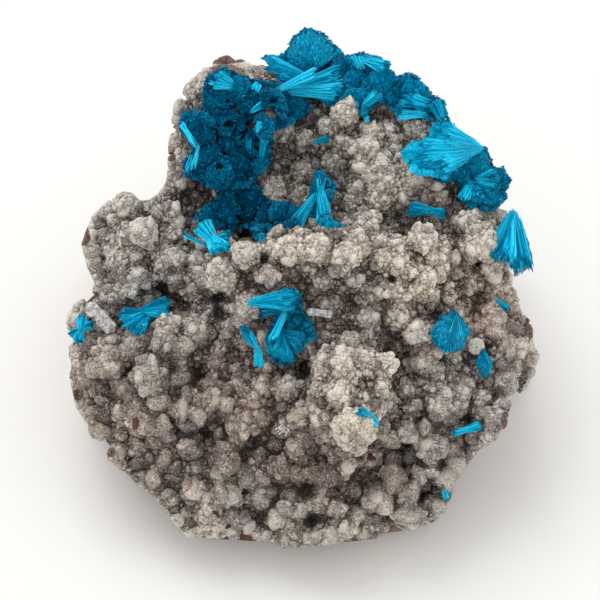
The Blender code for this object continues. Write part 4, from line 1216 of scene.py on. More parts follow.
    def popcorn_on(self, skin: Skin, normals: np.ndarray, outer: np.ndarray, rise_shade: np.ndarray, sprays: Skin,
                   rng: np.random.Generator) -> list[bpy.types.Object]:
        """Sets the popcorn balls on the body, larger and flatter on the smooth patches.

        Args:
            skin: The body's skin.
            normals: The direction outwards at each of its vertices.
            outer: Whether each vertex lies on the outside.
            rise_shade: How far each vertex stands out of its surroundings.
            sprays: The solids of the blue sprays.
            rng: The source of chance.

        Returns:
            The balls, in pieces of a size that keeps its mesh.
        """
        tries = sum(count for count, _, _ in self.popcorn)
        places, outward, corners = skin.scatter(tries, rng, normals, outer)
        radii = np.concatenate([rng.uniform(low, high, count) for count, low, high in self.popcorn])
        smooth = painted(self.patches["smooth"], places)
        width, larger = self.popcorn_swell
        coarse = smooth_noise(places, width * MM, 8.0)
        radii = radii * (1.0 + larger * coarse + self.lobes * smooth)
        grown = painted(self.patches["bare"], places) < self.popcorn_bare
        grown &= room_within(self.silhouette, VIEW.seen(places)) > -self.popcorn_over
        grown = np.flatnonzero(grown)
        kept = grown[thin_out(places[grown], radii[grown] * self.popcorn_spacing * MM)]
        kept = kept[sprays.far_from(places[kept], radii[kept] * self.popcorn_clear * MM)]
        kept = kept[self.free(places[kept], self.popcorn_caves)]
        count = len(kept)
        LOG.info("popcorn: %d", count)
        places, outward, corners, radii = places[kept], outward[kept], corners[kept], radii[kept]
        smooth = smooth[kept]
        sunk, deeper, uneven = self.popcorn_sunk
        sunk = radii * (sunk + deeper * smooth + rng.uniform(-uneven, uneven, count))
        stamp = Stamp.ball(2)
        lumps = rng.normal(1.0, self.lumpy, (count, len(stamp.points), 1))
        least, most, more = self.stretch
        long = 1.0 + rng.uniform(least, most, (count, 1, 3)) * (1.0 + more * smooth[:, None, None])
        local = stamp.points[None, :, :] * lumps * long * radii[:, None, None]
        shaped = (local - (outward * sunk[:, None])[:, None, :]) * MM + places[:, None, :]
        rim = room_within(self.silhouette, VIEW.seen(places)) < radii * self.popcorn_rim
        drawn = drawn_inside(self.silhouette, shaped[rim].reshape(-1, 3))
        shaped[rim] = drawn.reshape(-1, len(stamp.points), 3)
        # Painted shade on the balls: darker at the foot and in gaps, paler on top and on outer lumps.
        height = np.einsum("vk,nk->nv", stamp.points, outward) * 0.5 + 0.5
        stands = self.shade.levels(height, lumps[:, :, 0], rise_shade[corners], smooth, rng)
        tone = np.repeat(rng.random(count)[:, None], len(stamp.points), axis=1)
        pieces = []
        for number, start in enumerate(range(0, count, PIECE_LIMIT // len(stamp.triangles)), 1):
            part = slice(start, start + PIECE_LIMIT // len(stamp.triangles))
            points, triangles = stamp.set_down(shaped[part])
            piece = mesh_object(f"zeolite_popcorn_{number}", points, triangles, smooth=True)
            self.dress(piece.data, points, stands[part].ravel(), tone[part].ravel())
            pieces.append(piece)
        return pieces

    def parted(self, body: bpy.types.Object) -> list[bpy.types.Object]:
        """Cuts the body into closed parts that each stay small enough to keep their mesh."""
        count = math.ceil(len(triangles_of(body.data)) / (PIECE_LIMIT * CUT_ROOM))
        across = points_of(body.data)[:, 0]
        cuts = [float(np.quantile(across, k / count)) for k in range(1, count)]
        parts = []
        for number, (left, right) in enumerate(zip([None, *cuts], [*cuts, None]), 1):
            part = bpy.data.objects.new(f"zeolite_crust_{number}", body.data.copy())
            bpy.context.scene.collection.objects.link(part)
            for cut, inner in ((left, True), (right, False)):
                if cut is None:
                    continue
                only(part)
                bpy.ops.object.mode_set(mode="EDIT")
                bpy.ops.mesh.select_all(action="SELECT")
                bpy.ops.mesh.bisect(plane_co=(cut, 0.0, 0.0), plane_no=(1.0, 0.0, 0.0), use_fill=True,
                                    clear_inner=inner, clear_outer=not inner)
                bpy.ops.object.mode_set(mode="OBJECT")
            parts.append(part)
        bpy.data.objects.remove(body)
        return parts


@dataclass
class BasaltMatrix:
    """The broken rock under the crust, with steps and a rough grain, and its chips that poke through.

    Attributes:
        voxel: Mesh size of the rock, in millimetres.
        underside: Height up to which the face that it rests on stays as it is, in millimetres.
        steps: Width and height of the broken steps, in millimetres, and how many there are in that height.
        grain: Width and height of the rough grain, in millimetres.
        uneven: Smallest and largest stretch of a chip's corners.
        spread: Half a chip's size, as shares of its width and height and as its depth in millimetres.
        chips: Chips that show on the display side, as (across, up, width, height) in millimetres.
    """

    voxel: float = 0.9
    underside: float = 0.9
    steps: tuple[float, float, float] = (5.0, 0.4, 3.0)
    grain: tuple[float, float] = (1.6, 0.16)
    uneven: tuple[float, float] = (0.6, 1.3)
    spread: tuple[float, float, float] = (0.62, 0.62, 0.9)
    chips: list[tuple[float, float, float, float]] = field(default_factory=lambda: [
        (-39.6, -18.2, 1.2, 1.2), (-36.7, -17.9, 2.2, 0.9), (-31.2, -23.2, 1.4, 2.4),
        (-36.5, -25.5, 1.5, 1.6), (33.8, -4.4, 1.1, 1.9), (35.3, -8.2, 0.9, 1.3), (9.8, -34.2, 1.6, 2.6),
        (13.2, -29.9, 2.4, 1.2), (12.8, -32.8, 1.3, 0.9), (-15.9, -40.6, 0.8, 1.8),
        (-13.8, -43, 1.8, 1.2), (30, -28.9, 0.8, 1.2),
    ])

    def build(self, silhouette: tuple[Place, ...]) -> bpy.types.Object:
        """Models the rock from its solid, within the specimen's outline."""
        rock = merged_copy("basalt_matrix", "basalt_rock")
        remesh(rock, self.voxel, 0)
        points, normals = points_of(rock.data), normals_of(rock.data)
        up = points[:, 2] > self.underside * MM
        width, height, count = self.steps
        steps = np.round(smooth_noise(points, width * MM, 3.0) * count) / count * height
        rough = smooth_noise(points, self.grain[0] * MM, 9.0) * self.grain[1]
        points += normals * ((steps + rough) * up * MM)[:, None]
        set_points(rock.data, drawn_inside(silhouette, points))
        return rock

    def build_chips(self, crust: Skin, rng: np.random.Generator) -> bpy.types.Object:
        """Models the chips, each an angular splinter of the rock set flush in the crust."""
        stamp = Stamp.ball(1)
        shaped = []
        for across, up, wide, high in self.chips:
            point, outward = crust.hit(across, up)
            broken = stamp.points * rng.uniform(*self.uneven, stamp.points.shape)
            way = np.array((outward + VIEW.out).normalized())
            turn = turns_onto(way[None, :], np.array([rng.uniform(-0.4, 0.4)]))[0]
            local = broken * np.array([wide, high, 1.0]) * np.array(self.spread) * MM
            shaped.append(local @ turn.T + np.array(point))
        return mesh_object("basalt_chips", *stamp.set_down(np.array(shaped)))


class BlueShading(float, Enum):
    """How bright a spray's blue is painted, from 0 for the darkest tips to 1 for pale silk; the bright levels
    partly are painted sheen.
    """

    DEEP = 0.32
    MIDDLE = 0.46
    BRIGHT = 0.82
    PALE = 0.96


@dataclass(frozen=True)
class Sheaf:
    """A straight bundle of blades that spreads from a root.

    Attributes:
        root: Where it starts, millimetres across and up.
        tip: The middle of its tips.
        root_out: How far the root stands out from the rock, in millimetres.
        tip_out: How far the tips stand out.
        width: Width over the tips.
        thickness: Thickness over the tips.
        blue_and_shading: How bright its blue is painted, painted sheen included.
    """

    root: Place
    tip: Place
    root_out: float
    tip_out: float
    width: float
    thickness: float
    blue_and_shading: float = BlueShading.MIDDLE


@dataclass(frozen=True)
class Fan:
    """Blades that spread from a root to a rim, with a velvety face of tips between the two.

    Attributes:
        root: Where they start, millimetres across and up.
        rim: The outline that they reach, in order.
        root_out: How far the root stands out from the rock.
        bulge: How far the face swells out past the rim's level.
        steepest: Degrees that the blades lean out of the rim's level at most.
        whole: Whether the rim goes all the way round.
        blue_and_shading: How bright its blue is painted, painted sheen included.
    """

    root: Place
    rim: tuple[Place, ...]
    root_out: float
    bulge: float
    steepest: float = 60.0
    whole: bool = False
    blue_and_shading: float = BlueShading.MIDDLE


@dataclass(frozen=True)
class Thicket:
    """Rosettes of blades, grown together until they fill an outline with a velvety face.

    Attributes:
        outline: Places round it, in order.
        stands: How far the rosettes' middles stand out from the rock, in millimetres.
        radius: Smallest and largest rosette.
        blue_and_shading: How bright its blue is painted, painted sheen included.
        gaps: Gaps that show the rock, as (across, up, radius) in millimetres.
    """

    outline: tuple[Place, ...]
    stands: float
    radius: tuple[float, float] = (0.9, 2.8)
    blue_and_shading: float = BlueShading.DEEP
    gaps: tuple[tuple[float, float, float], ...] = ()


@dataclass(frozen=True)
class Grown:
    """Where the blades of one shape go.

    Attributes:
        starts: Where each blade starts, in millimetres.
        ends: Where it ends.
        spots: Where it is among the tips, in millimetres.
        velvet: How much the tips show rather than the sides, from 0 to 1.
        shift: How much brighter each blade is than the shape's own glow; in thickets it holds painted shade
            at the creases.
        cores: Middles of the rosettes' dense cores, in millimetres.
        core_radii: The cores' radii.
    """

    starts: np.ndarray
    ends: np.ndarray
    spots: np.ndarray
    velvet: float
    shift: np.ndarray
    cores: np.ndarray = field(default_factory=lambda: np.zeros((0, 3)))
    core_radii: np.ndarray = field(default_factory=lambda: np.zeros(0))


@dataclass
class Spray:
    """One cluster of cavansite: bundles grown together, each of many fine blades.

    Attributes:
        node: The solid that it stands for.
        shapes: What it is made of.
        blade: Width of one blade at its shoulder, in millimetres.
        packing: Share of the tips' area that one blade takes up, in squares of its width.
        droop: How far a bundle's tips may drop below its root, in millimetres.
        climb: How far they may rise above it.
        lowest: Degrees that a fan's blades lean in at most.
        bundle: Width of a bundle of blades that end at one length.
        glints: Share of the blades painted paler, as painted glints.
        overhang: How far a rosette may reach over its thicket's outline before it is cut, in millimetres.
    """

    node: str
    shapes: list[Sheaf | Fan | Thicket]
    blade: float = 0.36
    packing: float = 0.50
    droop: float = 1.5
    climb: float = 7.0
    lowest: float = -28.0
    bundle: float = 1.1
    glints: float = 0.04
    overhang: float = 0.9

    def build(self, rock: Skin, rng: np.random.Generator) -> bpy.types.Object:
        """Models the cluster.

        Args:
            rock: What it grows on.
            rng: The source of chance.

        Returns:
            The piece.
        """
        stamp = Stamp.needle(3, 0.90)
        ball = Stamp.ball(2)
        shaped, blue_and_shading, cores, shaded_cores = [], [], [], []
        ways = {Sheaf: self.sheaf, Fan: self.fan, Thicket: self.thicket}
        for shape in self.shapes:
            grown = ways[type(shape)](shape, rock, rng)
            blades, light = self.blades(grown, shape.blue_and_shading, stamp, rng)
            shaped.append(blades)
            blue_and_shading.append(light.ravel())
            core = ball.points[None, :, :] * grown.core_radii[:, None, None] + grown.cores[:, None, :]
            cores.append(core * MM)
            # The cores are painted darker than the blades: painted shade inside the rosettes.
            shaded_cores.append(np.full(core.shape[0] * core.shape[1], max(0.0, shape.blue_and_shading - 0.24)))
        points, triangles = stamp.set_down(np.concatenate(shaped))
        core_points, core_triangles = ball.set_down(np.concatenate(cores))
        return mesh_object(self.node + "_crystals", np.concatenate([points, core_points]),
                           np.concatenate([triangles, core_triangles + len(points)]),
                           attributes={"blue_and_shading": np.concatenate([*blue_and_shading, *shaded_cores])})

    def tip_depth(self, root: Place, tip: Place, root_out: float, tip_out: float, rock: Skin) -> float:
        """How far out a tip stands so that the bundle clears the rock all the way, in millimetres."""
        root_depth = rock.depth(*root) + root_out
        depth = root_depth - self.droop
        for part in (0.5, 0.75, 1.0):
            spot = [root[i] + (tip[i] - root[i]) * part for i in (0, 1)]
            clear = rock.depth(*spot) + root_out + (tip_out - root_out) * part
            depth = max(depth, root_depth + (clear - root_depth) / part)
        return min(depth, root_depth + self.climb)

    def sheaf(self, shape: Sheaf, rock: Skin, rng: np.random.Generator) -> Grown:
        """One sheaf's blades."""
        root = VIEW.at(*shape.root, rock.depth(*shape.root) + shape.root_out) / MM
        depth = self.tip_depth(shape.root, shape.tip, shape.root_out, shape.tip_out, rock)
        axis = VIEW.at(*shape.tip, depth) / MM - root
        length = axis.length
        axis.normalize()
        spread = math.asin(min(0.9, shape.width / 2 / length))
        count = max(16, int(math.pi / 4 * shape.width * shape.thickness / (self.blade ** 2 * self.packing)))
        ranks = np.sqrt((np.arange(count) + 0.5) / count)
        around = np.arange(count) * GOLDEN_ANGLE + rng.random() * 6.0
        side = axis.cross(VIEW.out).normalized()
        face = axis.cross(side)
        frame = np.array([side, face * (shape.thickness / shape.width), axis])
        flare = ranks * spread
        local = np.stack([np.sin(flare) * np.cos(around), np.sin(flare) * np.sin(around), np.cos(flare)], 1)
        ends = (local * length) @ frame + np.array(root)
        across = local * np.array([1.0, shape.thickness / shape.width, 0.0])
        starts = (across * (0.35 * length)) @ frame + np.array(root) + rng.normal(0.0, 0.2, (count, 3))
        starts += np.array(axis) * (rng.random(count) * 0.25 * length)[:, None]
        spots = np.stack([ranks * np.cos(around) * shape.width, ranks * np.sin(around) * shape.thickness], 1)
        return Grown(starts, ends, spots / 2.0, 0.0, np.zeros(count))

    def all_round(self, radius: float) -> np.ndarray:
        """Directions spread evenly over a ball, one for each blade that it has room for."""
        count = int(4.0 * math.pi * radius ** 2 / (self.blade ** 2 * self.packing))
        heights = 1.0 - 2.0 * (np.arange(count) + 0.5) / count
        angles = np.arange(count) * GOLDEN_ANGLE
        flat = np.sqrt(1.0 - heights ** 2)
        return np.stack([flat * np.cos(angles), flat * np.sin(angles), heights], axis=1)

    def thicket(self, shape: Thicket, rock: Skin, rng: np.random.Generator) -> Grown:
        """One thicket's blades: those of its rosettes that reach its face, within its outline."""
        outline = np.array(shape.outline)
        tries = rng.uniform(outline.min(axis=0), outline.max(axis=0), (6000, 2))
        tries = tries[inside(shape.outline, tries)]
        small, large = shape.radius
        room = room_within(shape.outline, tries)
        radii = np.clip(room + self.overhang, small, large) * rng.uniform(0.75, 1.0, len(tries))
        order = np.argsort(-radii * rng.uniform(0.6, 1.0, len(tries)))
        tries, radii, room = tries[order], radii[order], room[order]
        kept = thin_out(np.column_stack([tries, np.zeros(len(tries))]), radii * 0.42)
        tries, radii, room = tries[kept], radii[kept], room[kept]
        depths = np.array([rock.depth(*spot) for spot in tries]) + shape.stands - radii * 0.2
        apart = np.linalg.norm(tries[:, None, :] - tries[None, :, :], axis=2)
        depths = np.maximum(depths, np.median(depths[apart.argsort(axis=1)[:, :7]], axis=1) - 1.0)
        middles = np.array([VIEW.at(*spot, depth) for spot, depth in zip(tries, depths)]) / MM
        starts, ends, shift = [], [], []
        for middle, radius in zip(middles, radii):
            ways = self.all_round(radius)
            ways = ways[ways @ np.array(VIEW.out) > -0.5]
            swells = smooth_noise(middle + ways * radius, 1.7, 2.0) * 0.5 / radius + 1.0
            tips = middle + ways * (radius * swells)[:, None]
            others = np.linalg.norm(tips[:, None, :] - middles[None, :, :], axis=2) / radii
            others[:, np.linalg.norm(middles - middle, axis=1) < 0.01] = FAR
            crease = others.min(axis=1) - 1.0
            seen = VIEW.seen(tips * MM)
            ragged = 0.15 + 0.35 * smooth_noise(tips, 0.9, 6.0)
            shown = (crease > -0.06) & (room_within(shape.outline, seen) > -ragged)
            torn = 1.0 + 0.8 * smooth_noise(tips, 0.8, 3.0)
            for across, up, size in shape.gaps:
                shown &= np.hypot(seen[:, 0] - across, seen[:, 1] - up) > size * torn
            starts.append((middle + ways * (0.35 * radius))[shown])
            ends.append(tips[shown])
            # Blades near a crease with the next rosette are painted darker: painted shade in the creases.
            shift.append((rng.uniform(-0.08, 0.08) - 0.14 * np.exp(-np.maximum(crease, 0.0) / 0.2))[shown])
        ends = np.concatenate(ends)
        free = np.full(len(tries), FAR)
        for across, up, size in shape.gaps:
            free = np.minimum(free, np.hypot(tries[:, 0] - across, tries[:, 1] - up) - size)
        cores = np.minimum(np.minimum(radii * 0.8, room), free * 0.9)
        full = cores > 0.2
        return Grown(np.concatenate(starts), ends, ends, 1.0, np.concatenate(shift), middles[full],
                     cores[full])

    def fan(self, shape: Fan, rock: Skin, rng: np.random.Generator) -> Grown:
        """One fan's blades."""
        root_depth = rock.depth(*shape.root) + shape.root_out
        root = np.array(VIEW.at(*shape.root, root_depth)) / MM
        rim = [*shape.rim, shape.rim[0]] if shape.whole else list(shape.rim)
        depths = [self.tip_depth(shape.root, spot, shape.root_out, 0.5, rock) for spot in rim]
        flat = np.array(rim)
        solid = np.array([VIEW.at(*spot, depth) / MM for spot, depth in zip(rim, depths)])
        steps = np.linalg.norm(np.diff(flat, axis=0), axis=1)
        along = np.concatenate([[0.0], np.cumsum(steps)])
        loop = np.array([shape.root, *rim])
        area = abs((loop[:, 0] * np.roll(loop[:, 1], -1) - loop[:, 1] * np.roll(loop[:, 0], -1)).sum()) / 2.0
        low, high = math.sin(math.radians(self.lowest)), math.sin(math.radians(shape.steepest))
        face = area * (1.25 if shape.steepest > 40.0 else 0.55) + along[-1] * shape.bulge * 0.8
        count = max(30, int(face / (self.blade ** 2 * self.packing)))
        lean = low + (high - low) * (np.arange(count) + 0.5) / count
        place = (np.arange(count) * GOLDEN_STEP + rng.random()) % 1.0 * along[-1]
        reach = np.stack([np.interp(place, along, solid[:, k]) for k in range(3)], axis=1) - root
        level = np.sqrt(1.0 - lean ** 2)
        ends = root + reach * level[:, None] + np.array(VIEW.out) * (lean * shape.bulge)[:, None]
        starts = root + rng.normal(0.0, 0.25, (count, 3))
        spots = np.stack([place * level, lean * max(shape.bulge, area ** 0.5)], axis=1)
        return Grown(starts, ends, spots, 1.0 if shape.steepest > 40.0 else 0.3, np.zeros(count))

    def blades(self, grown: Grown, blue_and_shading: float, stamp: Stamp,
               rng: np.random.Generator) -> tuple[np.ndarray, np.ndarray]:
        """Shapes blades and groups them into bundles that end at one length.

        Args:
            grown: Where the blades go.
            blue_and_shading: How bright the blue is.
            stamp: One blade.
            rng: The source of chance.

        Returns:
            The vertices of each blade in metres, and the glow of each vertex.
        """
        count, spots = len(grown.starts), grown.spots
        wide = sorted(spots.max(axis=0) - spots.min(axis=0))[-2:]
        heads = min(count, max(4, int(wide[0] * wide[1] / self.bundle ** 2 * 0.9)))
        centres = spots[rng.choice(count, heads, replace=False)]
        which = np.array([((centres - spot) ** 2).sum(axis=1).argmin() for spot in spots])
        chance = rng.random(heads)
        middle_ends = np.stack([np.bincount(which, grown.ends[:, k], heads) for k in range(3)], axis=1)
        middle_ends /= np.maximum(np.bincount(which, minlength=heads), 1)[:, None]
        ends = grown.ends * 0.90 + middle_ends[which] * 0.10
        plain = 1.0 - grown.velvet
        shorter = 1.0 - (0.15 * chance[which] + 0.06 * rng.random(count)) * (1.0 + 0.9 * plain)
        vectors = (ends - grown.starts) * shorter[:, None]
        long = np.linalg.norm(vectors, axis=1)
        turns = turns_onto(vectors / long[:, None], rng.random(count) * 2.0 * math.pi)
        widths = self.blade * rng.uniform(0.9, 1.5, count) / 2.0
        local = stamp.points[None, :, :] * np.stack([widths, widths * 0.75, long], axis=1)[:, None, :]
        shaped = np.einsum("nij,nvj->nvi", turns, local) + grown.starts[:, None, :]
        own = blue_and_shading + grown.shift + (0.14 + 0.12 * plain) * (chance[which] - 0.5)
        own += (0.24 + 0.16 * plain) * (rng.random(count) - 0.5)
        # A few blades are painted much paler: painted glints.
        own += 0.38 * (rng.random(count) < self.glints)
        height = stamp.points[None, :, 2]
        tips = np.clip((height - 0.7) / 0.3, 0.0, 1.0)
        # Plain sheaves are painted paler towards the root, as painted sheen, and blades darker at the tips;
        # velvet rosettes are darker towards the blade bases, as painted shade.
        light = own[:, None] + 0.18 * plain * (1.0 - height) - (0.08 + 0.12 * plain) * tips
        light -= 0.22 * grown.velvet * (1.0 - height)
        return shaped * MM, np.clip(light, 0.0, 1.0)


CREST = (
    (-7.4, 46), (-6.3, 46.7), (-3.6, 46.2), (-1.3, 50.2), (0.9, 51.9), (4.6, 50.7), (8.7, 46.5),
    (11.8, 47.3), (15.6, 46), (18.8, 42.2), (19.9, 43.3), (22.2, 42.9), (25.1, 39.3), (27.7, 37.6),
    (28.4, 34), (18.6, 34.6), (17.5, 36.3), (15.2, 37.6), (12.9, 35.7), (13, 33.8), (11, 35.6), (9.1, 38),
    (5.7, 36.4), (3, 38.8), (-1, 40.2), (-3.2, 42.2), (-5.3, 44),
)
HOLLOW_TOP = (
    (-17.9, 42.4), (-14.6, 44.6), (-10.3, 42.4), (-5.1, 41.6), (-1, 41.4), (1.9, 39), (2.1, 36.3),
    (1.3, 35), (-5.1, 31.5), (-5.5, 25.5), (-7, 24.3), (-8.6, 22.8), (-7.8, 21), (-15.8, 20.8),
    (-17.7, 21.3), (-19.8, 22.8), (-21.7, 23.2), (-22.4, 26.2), (-20.7, 28.5), (-22.8, 32.1), (-23, 35.1),
    (-21.5, 36.1), (-19.9, 36.1), (-17.8, 35.3), (-18.6, 36.9), (-18.6, 39.3),
)
HOLLOW_FLOOR = (
    (-20.5, 15.2), (-18.2, 18.1), (-16.3, 19.2), (-15.4, 21.6), (-8.4, 22.2), (-5.7, 18.8), (-3.4, 19),
    (0.6, 17.4), (2.2, 15.6), (-0.9, 13.3), (-2.7, 14.1), (-5.3, 13.3), (-7.6, 11), (-9.3, 12.6),
    (-7.8, 14.1), (-12.3, 13.1), (-15.5, 13.4),
)
HOLLOW_SIDE = (
    (0.6, 17.4), (1.8, 20.6), (2.9, 24.7), (4.2, 24.9), (6.8, 21.7), (6.3, 19.2), (5.1, 18.2), (6.1, 15.2),
    (8.7, 14.2), (5.9, 13.5), (1.1, 15),
)
RIGHT_LOBE = (
    (29.6, 28.2), (33.4, 29.4), (35.5, 29.1), (37, 25.1), (38.8, 25.3), (40.3, 22.6), (39.1, 20.5),
    (39.5, 19.4), (37, 16.9), (34.4, 16.9), (33.4, 17.7), (32.3, 17.1), (30.4, 19), (30.6, 21.5),
    (28.7, 23), (27.4, 21.9), (24.1, 23.8), (25.6, 26.4),
)
RIGHT_SHEAF = (
    (28.3, 34.2), (32.3, 30.4), (34.5, 28.4), (27.4, 22.9), (24.1, 23.8), (21.7, 23.9), (19, 27.7),
    (21.1, 30.2), (22.6, 30), (24.7, 31.4), (25.1, 33.6),
)
CENTRE = (
    (-3, 2.3), (-1.3, 2.3), (0.4, 1.1), (0.4, -2.5), (2.1, -3.8), (3.2, -7), (-0.9, -9.9), (-1.1, -12.2),
    (-4, -12.3), (-6.1, -10.8), (-6.6, -7.8), (-5.7, -4.9), (-4.2, -2), (-5.5, 0.6),
)
SILHOUETTE = (
    (-7.4, 46), (-3.6, 46.2), (-1.3, 50.2), (0.9, 51.9), (4.6, 50.7), (8.7, 46.5), (15.6, 46),
    (18.8, 42.2), (22.2, 42.9), (27.7, 37.6), (28.4, 34), (32.3, 30.4), (37, 25.1), (40.3, 22.6),
    (39.5, 19.4), (40.4, 17.2), (41.6, 10), (40.9, 3.4), (41.2, 1), (43.4, -2.5), (44.7, -3.4),
    (44.8, -4.8), (43.7, -7.7), (45.6, -10.4), (45.2, -12), (42.6, -16.7), (39.8, -20.6), (39.7, -22.1),
    (36.4, -27), (34, -28.4), (29.4, -34.5), (28.7, -37.6), (26.5, -41.5), (22.6, -43.5), (16.8, -44.2),
    (14.4, -45.4), (7.6, -46.2), (2.5, -46.9), (-3.2, -47.2), (-3.8, -46.2), (-11.9, -45.6),
    (-21.5, -45.1), (-23.2, -43.6), (-27.8, -37.2), (-30.6, -35.5), (-32.9, -32.8), (-35.4, -31.4),
    (-39.5, -24.8), (-42.6, -20.4), (-43.8, -14.6), (-43.3, -11.8), (-44.3, -8), (-44.6, -5.5),
    (-44.2, -2.6), (-42.1, -0.1), (-38.2, 1.6), (-40.5, 6.2), (-41.6, 10.6), (-40.6, 13.5), (-39.5, 16),
    (-36.9, 18.6), (-35.2, 20.1), (-33.2, 20.7), (-31.2, 18.9), (-28.1, 18.8), (-25.4, 22.3), (-25, 30),
    (-24.1, 37.2), (-21.8, 40.9), (-19.4, 43), (-17.8, 45.1), (-13.9, 46.7), (-10.8, 46.6),
)
MASSES = [CREST, HOLLOW_TOP, HOLLOW_FLOOR, HOLLOW_SIDE, RIGHT_LOBE, RIGHT_SHEAF, CENTRE]


